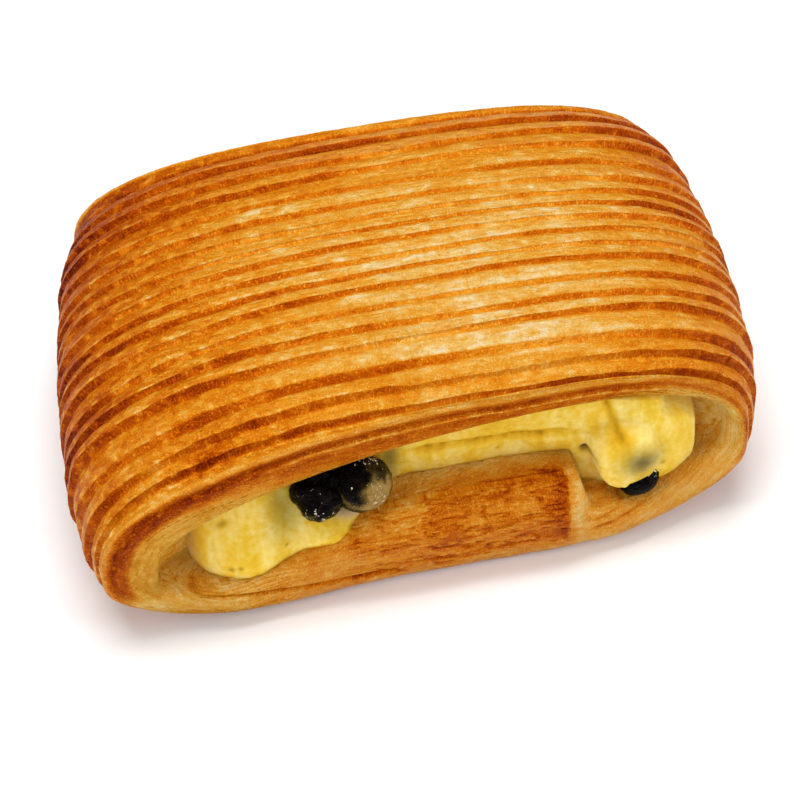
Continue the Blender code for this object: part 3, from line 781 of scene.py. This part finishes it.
def add_marks(mesh, marks):
    """Store marks for the materials to read: one value or one vector for each point."""
    for name, values in marks.items():
        kind = "FLOAT_VECTOR" if values.ndim == 2 else "FLOAT"
        layer = mesh.attributes.new(name, kind, "POINT")
        field = "vector" if values.ndim == 2 else "value"
        layer.data.foreach_set(field, values.astype(np.float32).ravel())


def grid_mesh(points, normals, marks):
    """Make a mesh from a grid of points, with its own normals and marks."""
    rows, columns = points.shape[:2]
    mesh = bpy.data.meshes.new("grid")
    mesh.from_pydata(to_metres(points).reshape(-1, 3).tolist(), [], grid_faces(rows, columns).tolist())
    add_marks(mesh, marks)
    mesh.shade_smooth()
    mesh.normals_split_custom_set_from_vertices(normals.reshape(-1, 3).tolist())
    return mesh


def dough_piece(name, t, first, number, sheet, material):
    """Make one stretch of the dough's sheet a piece, from its first row on."""
    order = (first + np.arange(number)) % len(sheet)
    normals = grid_normals(sheet[:, :, :3])
    part = sheet[order]
    round_x, round_y = (np.broadcast_to(value, part.shape[:2]) for value in round_place(t))
    place = np.stack([round_x, round_y, part[:, :, 6]], axis=-1).reshape(-1, 3)
    marks = {"tan": part[:, :, 3].ravel(), "cut": part[:, :, 4].ravel(), "place": place}
    mesh = grid_mesh(part[:, :, :3], normals[order], marks)
    add_piece(name, mesh, material, "dough")


def make_dough(material):
    """Make the crust and the two mouths, which meet along the lips' outer edges."""
    every = section_angles()
    t = crust_angles(every)
    sheet, counts = dough_sheet(t)
    dough_piece("crust", t, 0, counts[0], sheet, material)
    t = every
    sheet, counts = dough_sheet(t)
    dough_piece("back_mouth", t, counts[0] - 1, counts[1] + 1, sheet, material)
    dough_piece("front_mouth", t, counts[0] + counts[1] - 1, counts[2] + 2, sheet, material)


def fold_along(x, z, height, slope, half_width, fade_in, fade_out):
    """Give how far into a fold each place lies."""
    return hump(z, height + slope * x, half_width) * smooth_step(*fade_in, x) * smooth_step(*fade_out, x)


def custard_front(x, z, a, c):
    """Give the custard's front face, its painted shade, how stained it is, and where dough sticks to it.

    a runs from -1 to 1 along the face and c runs from -1 to 1 up it.
    """
    side_edge = FACE_EDGE[1] * np.where(a < 0.0, 1.0, 0.4) * np.abs(a) ** 8
    side_edge = side_edge + RIGHT_TURN[2] * smooth_step(*RIGHT_TURN[:2], a)
    side_edge = side_edge + LEFT_TURN[2] * smooth_step(*LEFT_TURN[:2], -a)
    y = FRONT_FACE - spots(x, z, FRONT_LOBES) + FACE_EDGE[0] * np.abs(c) ** 6 + side_edge
    y = y - spots(x, z, RIGHT_MASS)
    y = y + RIGHT_FOOT[2] * smooth_step(*RIGHT_FOOT[:2], z) * smooth_step(27.0, 33.0, x)
    right = np.maximum(x - CORNER_CENTRE[0], 0.0) / CORNER_HALF[0]
    above = np.maximum(z - CORNER_CENTRE[1], 0.0) / CORNER_HALF[1]
    y = y + CORNER_DEPTH * smooth_step(0.85, 1.1, np.hypot(right, above)) * smooth_step(42.0, 46.0, x)

    # The lobe over the drop on the right, which leaves only the drop's lower right rim bare
    beside = (x - LOBE_CENTRE[0]) / LOBE_HALF[0]
    above = (z - LOBE_CENTRE[1]) / LOBE_HALF[1]
    reach = np.hypot(beside, above)
    soft_edge = 1.08 + smooth_step(-0.5, 0.8, above + 0.3 * beside)
    lobe = LOBE_FRONT + 1.2 * reach ** 2 + 9.0 * smooth_step(0.88, soft_edge, reach)
    lobe = lobe + np.sin(2.2 * x + 3.4 * z) * spots(x, z, LOBE_WRINKLES)
    y = np.minimum(y, lobe)

    # Folds, pits and the fine unevenness
    fold = fold_along(x, z, *FRONT_FOLD)
    upright = hump(x, 34.6 - 0.27 * (z - 26.0), 0.8) * smooth_step(26.0, 28.5, z)
    pit = spots(x, z, PITS)
    y = y + 0.9 * fold + 0.8 * upright + 1.6 * pit
    y = y - 0.35 * noise(x / 7.0, z / 6.0, 0.0, 30) - 0.16 * noise(x / 2.1, z / 3.2, 0.0, 31)
    y = y - 0.05 * noise(x / 0.9, z / 0.9, 0.0, 32)
    strip_line = np.maximum(21.0 - 0.25 * (x + 22.0), flap_height(x) + 0.6)
    strip = hump(z, strip_line, 0.9) * smooth_step(-24.0, -21.5, x) * smooth_step(-13.5, -15.5, x)
    y = y - 0.6 * strip

    # Painted shade: darker in the folds, the upright crease, under the lip at the upper left and along the
    # foot; the chocolate smudge and the pits add to it
    sunk = 0.7 * fold + 0.8 * upright + 0.35 * smooth_step(22.0, 31.0, z) * smooth_step(20.0, -10.0, x)
    sunk = sunk + 0.6 * smooth_step(-0.86, -0.98, c)
    skin = 0.9 * strip + 0.8 * smooth_step(-45.0, -48.5, x + 0.8 * noise(x, z, 0.0, 33))
    smudge = hump(x + 0.6 * (z - SMUDGE[1]), SMUDGE[0], 1.4)
    smudge = smudge * hump(z - 0.5 * (x - SMUDGE[0]), SMUDGE[1], 0.7) + spots(x, z, SPECKS)
    sunk = sunk + 0.8 * smudge + pit
    stain = spots(x, z, STAINS) + 0.4 * smudge + pit
    return y, *(np.clip(mark, 0.0, 1.0) for mark in (sunk, stain, skin))


def custard_back(x, z, a, c):
    """Give the custard's back face and its marks, as for the front."""
    y = BACK_FACE + spots(x, z, BACK_LOBES) - FACE_EDGE[0] * np.abs(c) ** 6 - FACE_EDGE[1] * np.abs(a) ** 8
    fold = fold_along(x, z, *BACK_FOLD)
    y = y - 0.9 * fold + 0.35 * noise(x / 7.0, z / 6.0, 4.0, 30)
    # The back's fold gives its painted shade
    return y + 0.12 * noise(x / 2.4, z / 2.4, 4.0, 31), fold, 0.0 * x, 0.0 * x


def face_rings(face, levels, x, a, limits, spread):
    """Give the rings of one of the custard's faces, one for each level from -1 to 1, and their marks."""
    low, high = limits
    spread_x = x + np.where(a < 0.0, *spread) * signed_power(a, 5.0)
    rings = []
    marks = []
    for c in levels:
        z = low + (high - low) * (c + 1.0) / 2.0
        y, *mark = face(x, z, a, c)
        rings.append(np.stack([spread_x, y, z], axis=-1))
        marks.append(mark)
    return rings, marks


def between(first, last, number):
    """Give rings between two rings."""
    return [first + (last - first) * part for part in np.linspace(0.0, 1.0, number + 2)[1:-1]]


def make_custard(material):
    """Make the custard as rings along X: up its front face, over, down its back face and under."""
    a = -np.cos(np.linspace(0.0, math.pi, CUSTARD_COLUMNS))
    x = np.where(a < 0.0, HOLLOW_LEFT - CUSTARD_INSET, HOLLOW_RIGHT - CUSTARD_INSET) * a
    low, high = hollow_limits(x, CUSTARD_INSET)
    front_low = hollow_limits(x, CUSTARD_INSET, RIGHT_SQUARENESS)[0]
    up, over, down, under = CUSTARD_ROWS
    rising = -np.cos(np.linspace(0.0, math.pi, up))
    falling = np.cos(np.linspace(0.0, math.pi, down))
    front, front_marks = face_rings(custard_front, rising, x, a, (front_low, high), FRONT_SPREAD)
    back, back_marks = face_rings(custard_back, falling, x, a, (low, high), BACK_SPREAD)
    rings = front + between(front[-1], back[0], over) + back + between(back[-1], front[0], under)
    plain = [[0.0 * x, 0.0 * x, 0.0 * x]]
    marks = front_marks + over * plain + back_marks + under * plain
    points = np.array(rings).transpose(1, 0, 2)
    sunk, stain, skin = np.array(marks).transpose(1, 2, 0)
    mesh = bpy.data.meshes.new("custard")
    faces = grid_faces(*points.shape[:2])
    mesh.from_pydata(to_metres(points).reshape(-1, 3).tolist(), [], faces.tolist())
    add_marks(mesh, {"sunk": sunk.ravel(), "stain": stain.ravel(), "skin": skin.ravel()})
    work = bmesh.new()
    work.from_mesh(mesh)
    bmesh.ops.remove_doubles(work, verts=work.verts[:], dist=0.00002)
    bmesh.ops.recalc_face_normals(work, faces=work.faces[:])
    work.to_mesh(mesh)
    work.free()
    mesh.shade_smooth()
    add_piece("custard_filling", mesh, material, "custard")


def drop_film(kind, ball, ripple):
    """Give how much custard lies on a drop as a film, and where pale specks lie, partly custard and partly
    painted glints, on the face that looks out and up.

    The film leaves a round place bare in the middle. The third kind has only a painted ring of glints along
    its right rim, and a bare drop has pale specks low down.
    """
    side = ball[:, 0]
    up = DROP_FACE[0] * ball[:, 1] + DROP_FACE[1] * ball[:, 2]
    middle = np.hypot(side, up)
    if kind == "film":
        patch = smooth_step(0.78, 0.20, np.hypot(side - 0.30, up + 0.50) + 0.14 * ripple)
        ring = hump(middle, 0.86, 0.10) * smooth_step(0.35, -0.1, up)
        body = 0.42 * smooth_step(-0.35, 0.35, side) + 0.12 * smooth_step(0.2, -0.4, up)
        bare = hump(np.hypot(side - 0.05, up - 0.08), 0.0, 0.20)
        film = np.clip(body + 0.62 * patch + 0.55 * ring, 0.0, 1.0) * (1.0 - bare)
        beads = smooth_step(-0.45, 0.0, side) * smooth_step(0.75, 0.55, side)
        beads = 0.8 * beads * smooth_step(0.40, 0.60, up)
        beads = beads + 0.42 * patch + 0.8 * hump(side, -0.42, 0.07) * smooth_step(-0.05, -0.2, up)
        return film, np.clip(beads, 0.0, 1.0)
    if kind == "beads":
        return 0.0 * side, 1.3 * hump(np.hypot(side - 0.55, up + 0.05), 0.20, 0.06)
    return 0.06 * smooth_step(0.2, 0.6, ripple), 0.60 * smooth_step(-0.5, -0.85, up + 0.2 * side)


def make_drop(name, centre, half, seed, rough, stretch, kind, material):
    """Make one melted chocolate drop; stretch draws it out to the right."""
    work = bmesh.new()
    bmesh.ops.create_icosphere(work, subdivisions=6, radius=1.0)
    mesh = bpy.data.meshes.new(name)
    work.to_mesh(mesh)
    work.free()
    place = np.empty(len(mesh.vertices) * 3)
    mesh.vertices.foreach_get("co", place)
    ball = place.reshape(-1, 3)
    turned = (ball @ np.array(Matrix.Rotation(DROP_TURN[0], 3, DROP_TURN[1]))).T
    bulge, ripple, grain = (noise(*(waves * turned), seed + step) for step, waves in enumerate(DROP_WAVES))
    swell = 1.0 + rough * bulge + 0.45 * rough * ripple + 0.02 * grain
    points = ball * swell[:, None] * np.array(half)
    drawn = stretch * smooth_step(0.1, 0.9, ball[:, 0])
    points[:, 0] += half[0] * drawn
    points[:, 2] += half[2] * drawn * smooth_step(-0.1, 0.6, ball[:, 2])
    points = points + np.array(centre)
    mesh.vertices.foreach_set("co", to_metres(points).astype(np.float32).ravel())
    film, beads = drop_film(kind, ball, ripple)
    add_marks(mesh, {"film": film, "beads": beads})
    mesh.update()
    mesh.shade_smooth()
    add_piece(name.replace("chocolate_drop", "melted_drop"), mesh, material, name)


# Materials


def linear(code):
    """Turn an sRGB hex colour to a linear one."""
    levels = [int(code[place:place + 2], 16) / 255.0 for place in (0, 2, 4)]
    straight = [level / 12.92 if level <= 0.04045 else ((level + 0.055) / 1.055) ** 2.4 for level in levels]
    return (*straight, 1.0)


def add_node(tree, kind, settings, links=()):
    """Add a node, set its properties and inputs, and link sources to its inputs."""
    node = tree.nodes.new(kind)
    for name, value in settings.items():
        if name == "stops":
            ramp = node.color_ramp
            while len(ramp.elements) < len(value):
                ramp.elements.new(0.5)
            for element, (position, colour) in zip(ramp.elements, value):
                element.position = position
                element.color = linear(colour)
        elif isinstance(name, int) or name in node.inputs:
            node.inputs[name].default_value = value
        else:
            setattr(node, name, value)
    for name, source in dict(links).items():
        tree.links.new(source, node.inputs[name])
    return node


def new_material(name):
    """Start a material with an empty tree."""
    material = bpy.data.materials.new(name)
    material.use_nodes = True
    material.node_tree.nodes.clear()
    return material, material.node_tree


# Tones of the crust from the palest ridge top to the darkest groove
CRUST_TONES = ((0.0, "F8DEAC"), (0.12, "F3C062"), (0.25, "ECA022"), (0.38, "E48B10"), (0.50, "D67206"),
               (0.62, "C45B03"), (0.75, "AC4501"), (0.87, "8E2C01"), (1.0, "5E1501"))
# Tones of the open layers, from steamed pale dough to toasted edges
LAYER_TONES = ((0.0, "F8DA90"), (0.25, "EEB548"), (0.45, "DD931E"), (0.65, "C26F0C"), (0.85, "944905"),
               (1.0, "5E2A04"))
# Patterns in the dough: waves to a millimetre along and across the ridges, fineness, and share of the
# bake; the specks have none there, because their share grows with the bake
DOUGH_NOISES = {
    "streak": (0.07, 1.2, 2.0, 0.02),
    "grain": (1.1, 0.35, 3.0, 0.030),
    "speck": (2.6, 3.0, 2.0, 0.0),
    "mottle": (0.60, 1.05, 3.0, 0.06),
    "patch": (0.16, 0.40, 2.0, 0.12),
}


def baked_dough():
    """Baked laminated dough under an egg-wash glaze: brown where the scoring stood proud in the oven.

    The marks give the bake of each place. Streaks follow the ridges, a cross grain is the skin that
    stretched as it rose, and mottles and specks are its blisters, which show most where it is brown.
    The brightest specks are painted glints.
    The glaze lies thick on the pale tops and thin in the dark grooves, and the open layers have little.
    """
    material, tree = new_material("baked_laminated_dough")
    tan, cut = (add_node(tree, "ShaderNodeAttribute", {"attribute_name": mark}).outputs["Fac"]
                for mark in ("tan", "cut"))
    place = add_node(tree, "ShaderNodeAttribute", {"attribute_name": "place"}).outputs["Vector"]
    pattern = {}
    for name, (along, across, detail, share) in DOUGH_NOISES.items():
        scaled = add_node(tree, "ShaderNodeVectorMath",
                          {"operation": "MULTIPLY", 1: (along, along, across)}, {0: place})
        noises = add_node(tree, "ShaderNodeTexNoise",
                          {"normalize": False, "Scale": 1.0, "Detail": detail, "Roughness": 0.6},
                          {"Vector": scaled.outputs[0]})
        pattern[name] = noises.outputs[0]
        if share > 0.0:
            tan = add_node(tree, "ShaderNodeMath", {"operation": "MULTIPLY_ADD", 1: share},
                           {0: pattern[name], 2: tan}).outputs[0]
    thread = add_node(tree, "ShaderNodeMapRange",
                      {"interpolation_type": "SMOOTHSTEP", "From Min": 0.12, "From Max": 0.40},
                      {"Value": pattern["streak"]})
    tan = add_node(tree, "ShaderNodeMath", {"operation": "MULTIPLY_ADD", 1: 0.04},
                   {0: thread.outputs[0], 2: tan}).outputs[0]
    # Painted highlights: the brightest specks turn pale as glints
    painted_spark = add_node(tree, "ShaderNodeMapRange",
                     {"interpolation_type": "SMOOTHSTEP", "From Min": 0.22, "From Max": 0.50},
                     {"Value": pattern["speck"]})
    grit_and_painted_sparks = add_node(tree, "ShaderNodeMath", {"operation": "MULTIPLY_ADD", 1: -0.85},
                    {0: painted_spark.outputs[0], 2: pattern["speck"]})
    coarse = add_node(tree, "ShaderNodeMapRange",
                      {"From Min": 0.15, "From Max": 0.50, "To Min": 0.14, "To Max": 0.36}, {"Value": tan})
    tan = add_node(tree, "ShaderNodeMath", {"operation": "MULTIPLY_ADD"},
                   {0: grit_and_painted_sparks.outputs[0], 1: coarse.outputs[0], 2: tan}).outputs[0]
    crust = add_node(tree, "ShaderNodeValToRGB", {"stops": CRUST_TONES}, {"Fac": tan})
    layers = add_node(tree, "ShaderNodeValToRGB", {"stops": LAYER_TONES}, {"Fac": tan})
    colour = add_node(tree, "ShaderNodeMix", {"data_type": "RGBA"},
                      {0: cut, 6: crust.outputs[0], 7: layers.outputs[0]})
    rough = add_node(tree, "ShaderNodeMath", {"operation": "MULTIPLY_ADD", 1: 0.10, 2: 0.34},
                     {0: pattern["speck"]})
    rough = add_node(tree, "ShaderNodeMath", {"operation": "MULTIPLY_ADD", 1: 0.10},
                     {0: cut, 2: rough.outputs[0]})
    glaze = add_node(tree, "ShaderNodeMapRange",
                     {"From Min": 0.20, "From Max": 0.54, "To Min": 0.46, "To Max": 0.03}, {"Value": tan})
    bare = add_node(tree, "ShaderNodeMath", {"operation": "MULTIPLY_ADD", 1: -0.7, 2: 1.0}, {0: cut})
    glaze = add_node(tree, "ShaderNodeMath", {"operation": "MULTIPLY"},
                     {0: glaze.outputs[0], 1: bare.outputs[0]})
    relief = pattern["speck"]
    for name, share in (("mottle", 2.2), ("grain", 0.6)):
        relief = add_node(tree, "ShaderNodeMath", {"operation": "MULTIPLY_ADD", 1: share},
                          {0: pattern[name], 2: relief}).outputs[0]
    bump = add_node(tree, "ShaderNodeBump", {"Strength": 1.0, "Distance": 0.00018}, {"Height": relief})
    shader = add_node(tree, "ShaderNodeBsdfPrincipled",
                      {"IOR": 1.42, "Specular IOR Level": 0.06, "Specular Tint": linear("FFBE78"),
                       "Coat Roughness": 0.16, "Coat IOR": 1.5, "Subsurface Weight": 0.35,
                       "Subsurface Radius": (1.0, 0.45, 0.12), "Subsurface Scale": 0.0012},
                      {"Base Color": colour.outputs[2], "Roughness": rough.outputs[0],
                       "Coat Weight": glaze.outputs[0], "Normal": bump.outputs[0],
                       "Coat Normal": bump.outputs[0]})
    add_node(tree, "ShaderNodeOutputMaterial", {}, {"Surface": shader.outputs[0]})
    return material


# Chocolate, from bare to under a film of custard
FILM_TONES = ((0.0, "030101"), (0.25, "0C0603"), (0.5, "3A2C12"), (0.8, "705A2A"), (1.0, "9A7C42"))
# Custard from its palest skin to the deep yellow of its painted shade in folds
CUSTARD_TONES = ((0.0, "F6E084"), (0.35, "ECC43A"), (0.7, "DAA818"), (1.0, "A87A0C"))


def custard_material():
    """Baked vanilla custard: soft, slightly clear, its yellow deepened by painted shade in folds and pits,
    under the lip and along its foot, olive beside chocolate.

    Its clouds are about 4 mm wide and drawn out upwards, and its grain is about 1 mm.
    """
    material, tree = new_material("baked_custard")
    sunk, stain, skin = (add_node(tree, "ShaderNodeAttribute", {"attribute_name": mark}).outputs["Fac"]
                         for mark in ("sunk", "stain", "skin"))
    where = add_node(tree, "ShaderNodeTexCoord", {}).outputs["Object"]
    drawn = add_node(tree, "ShaderNodeVectorMath", {"operation": "MULTIPLY", 1: (1.0, 0.5, 0.35)}, {0: where})
    cloud = add_node(tree, "ShaderNodeTexNoise", {"normalize": False, "Scale": 230.0, "Detail": 3.0},
                     {"Vector": drawn.outputs[0]})
    fine = add_node(tree, "ShaderNodeTexNoise", {"normalize": False, "Scale": 900.0, "Detail": 3.0},
                    {"Vector": where})
    tone = add_node(tree, "ShaderNodeMath", {"operation": "MULTIPLY_ADD", 1: 0.36, 2: 0.28},
                    {0: cloud.outputs[0]}).outputs[0]
    # The painted shade deepens the yellow
    for mark, share in ((fine.outputs[0], 0.15), (sunk, 0.6)):
        tone = add_node(tree, "ShaderNodeMath", {"operation": "MULTIPLY_ADD", 1: share},
                        {0: mark, 2: tone}).outputs[0]
    colour = add_node(tree, "ShaderNodeValToRGB", {"stops": CUSTARD_TONES}, {"Fac": tone})
    colour = add_node(tree, "ShaderNodeMix", {"data_type": "RGBA", 7: linear("5C5230")},
                      {0: stain, 6: colour.outputs[0]})
    colour = add_node(tree, "ShaderNodeMix", {"data_type": "RGBA", 7: linear("CDB08C")},
                      {0: skin, 6: colour.outputs[2]})
    bump = add_node(tree, "ShaderNodeBump", {"Strength": 0.5, "Distance": 0.0002},
                    {"Height": fine.outputs[0]})
    shader = add_node(tree, "ShaderNodeBsdfPrincipled",
                      {"Roughness": 0.34, "IOR": 1.42, "Specular IOR Level": 0.25,
                       "Specular Tint": linear("FFE9A0"), "Subsurface Weight": 0.5,
                       "Subsurface Radius": (1.0, 0.7, 0.20), "Subsurface Scale": 0.0015},
                      {"Base Color": colour.outputs[2], "Normal": bump.outputs[0]})
    add_node(tree, "ShaderNodeOutputMaterial", {}, {"Surface": shader.outputs[0]})
    return material


def chocolate_material():
    """Dark chocolate that melted and set again: near black and glossy, filmed with custard, with pale specks
    that are partly custard and partly painted glints.

    The film ripples every millimetre or so, and the pale specks are about half a millimetre across.
    """
    material, tree = new_material("dark_chocolate")
    film, beads = (add_node(tree, "ShaderNodeAttribute", {"attribute_name": mark}).outputs["Fac"]
                   for mark in ("film", "beads"))
    where = add_node(tree, "ShaderNodeTexCoord", {}).outputs["Object"]
    ripple = add_node(tree, "ShaderNodeTexNoise", {"normalize": False, "Scale": 1100.0, "Detail": 2.0},
                      {"Vector": where})
    dots = add_node(tree, "ShaderNodeTexNoise", {"normalize": False, "Scale": 1700.0, "Detail": 1.0},
                    {"Vector": where})
    mixed = add_node(tree, "ShaderNodeMath", {"operation": "MULTIPLY_ADD", 1: 0.20},
                     {0: ripple.outputs[0], 2: film})
    colour = add_node(tree, "ShaderNodeValToRGB", {"stops": FILM_TONES}, {"Fac": mixed.outputs[0]})
    near = add_node(tree, "ShaderNodeMath", {"operation": "MULTIPLY_ADD", 1: 0.7},
                    {0: beads, 2: dots.outputs[0]})
    # Painted highlights: the pale specks stand partly for glints
    bead_and_painted_glint = add_node(tree, "ShaderNodeMapRange",
                    {"interpolation_type": "SMOOTHSTEP", "From Min": 0.72, "From Max": 1.0},
                    {"Value": near.outputs[0]})
    colour = add_node(tree, "ShaderNodeMix", {"data_type": "RGBA", 7: linear("DCD6C2")},
                      {0: bead_and_painted_glint.outputs[0], 6: colour.outputs[0]})
    bump = add_node(tree, "ShaderNodeBump", {"Strength": 0.5, "Distance": 0.0002},
                    {"Height": dots.outputs[0]})
    shader = add_node(tree, "ShaderNodeBsdfPrincipled",
                      {"Roughness": 0.12, "IOR": 1.5, "Specular IOR Level": 0.03},
                      {"Base Color": colour.outputs[2], "Normal": bump.outputs[0]})
    add_node(tree, "ShaderNodeOutputMaterial", {}, {"Surface": shader.outputs[0]})
    return material


def floor_material():
    """White seamless paper: plain and matt, so that only the soft shadow shows on it."""
    material, tree = new_material("white_paper")
    shader = add_node(tree, "ShaderNodeBsdfPrincipled",
                      {"Base Color": linear("FBFBFB"), "Roughness": 0.9, "Specular IOR Level": 0.1})
    add_node(tree, "ShaderNodeOutputMaterial", {}, {"Surface": shader.outputs[0]})
    return material


# The studio

CAMERA_HEIGHT_ANGLE = 47.657                # degrees above the table
CAMERA_SIDE_ANGLE = 10.422                  # degrees to the left of straight in front
CAMERA_ROLL = 2.100
CAMERA_DISTANCE = 0.59873
CAMERA_TARGET = (-0.00295, -0.01777, 0.025)
CAMERA_LENS = 141.51
CAMERA_SENSOR = 36.0

# The room: pale all round, with a dark screen behind the pastry, which keeps the glaze from hazing over
ROOM_LIGHT = (0.34, 0.10)
DARK_SCREEN = (0.13, 0.68, 0.72)            # the screen's direction
SCREEN_EDGE = (0.45, 0.94)                  # cosines of the angles at which it starts and is full
# The soft lights: place, what each faces, size and power
SOFTBOXES = {
    "top_softbox": ((-0.03, 0.12, 0.90), (0.0, 0.0, 0.03), (0.76, 0.36), 7.5),
    "front_softbox": ((0.05, -0.80, 0.55), (0.0, 0.0, 0.02), (0.50, 0.30), 1.4),
    "left_softbox": ((-0.75, -0.40, 0.50), (0.0, 0.0, 0.03), (0.50, 0.50), 2.1),
    "right_softbox": ((0.80, -0.35, 0.45), (0.0, 0.0, 0.03), (0.40, 0.50), 2.5),
}


def make_camera():
    """Place the camera as the photograph's was."""
    rise = math.radians(CAMERA_HEIGHT_ANGLE)
    turn = math.radians(CAMERA_SIDE_ANGLE)
    roll = math.radians(CAMERA_ROLL)
    back = np.array([-math.sin(turn) * math.cos(rise), -math.cos(turn) * math.cos(rise), math.sin(rise)])
    right = np.array([math.cos(turn), -math.sin(turn), 0.0])
    up = np.cross(back, right)
    camera_x = math.cos(roll) * right - math.sin(roll) * up
    camera_y = math.sin(roll) * right + math.cos(roll) * up
    place = np.array(CAMERA_TARGET) + CAMERA_DISTANCE * back
    table = np.eye(4)
    table[:3, :] = np.column_stack([camera_x, camera_y, back, place])
    data = bpy.data.cameras.new("camera")
    data.lens = CAMERA_LENS
    data.sensor_width = CAMERA_SENSOR
    camera = bpy.data.objects.new("camera", data)
    camera.matrix_world = Matrix(table.tolist())
    bpy.context.scene.collection.objects.link(camera)
    bpy.context.scene.camera = camera


def add_softbox(name, place, target, size, power):
    """Hang a soft light that faces a target."""
    data = bpy.data.lights.new(name, "AREA")
    data.shape = "RECTANGLE"
    data.size, data.size_y = size
    data.energy = power
    light = bpy.data.objects.new(name, data)
    light.location = place
    light.rotation_euler = (Vector(target) - Vector(place)).to_track_quat("-Z", "Y").to_euler()
    bpy.context.scene.collection.objects.link(light)


def make_studio():
    """Lay the floor and set the lights."""
    bpy.ops.mesh.primitive_plane_add(size=6.0, location=(0.0, 0.0, 0.0))
    floor = bpy.context.object
    floor.name = "floor"
    floor.data.materials.append(floor_material())
    world = bpy.data.worlds.new("studio")
    world.use_nodes = True
    tree = world.node_tree
    where = add_node(tree, "ShaderNodeTexCoord", {}).outputs["Generated"]
    near = add_node(tree, "ShaderNodeVectorMath", {"operation": "DOT_PRODUCT", 1: DARK_SCREEN}, {0: where})
    light = add_node(tree, "ShaderNodeMapRange",
                     {"interpolation_type": "SMOOTHSTEP", "From Min": SCREEN_EDGE[0],
                      "From Max": SCREEN_EDGE[1], "To Min": ROOM_LIGHT[0], "To Max": ROOM_LIGHT[1]},
                     {"Value": near.outputs["Value"]})
    background = tree.nodes["Background"]
    background.inputs["Color"].default_value = linear("FFFFFF")
    tree.links.new(light.outputs[0], background.inputs["Strength"])
    bpy.context.scene.world = world
    for name, values in SOFTBOXES.items():
        add_softbox(name, *values)
    bpy.context.scene.view_settings.view_transform = "Standard"


make_camera()
make_studio()
dough = baked_dough()
chocolate = chocolate_material()
make_dough(dough)
make_custard(custard_material())
for name, values in DROPS.items():
    make_drop(name, *values, chocolate)
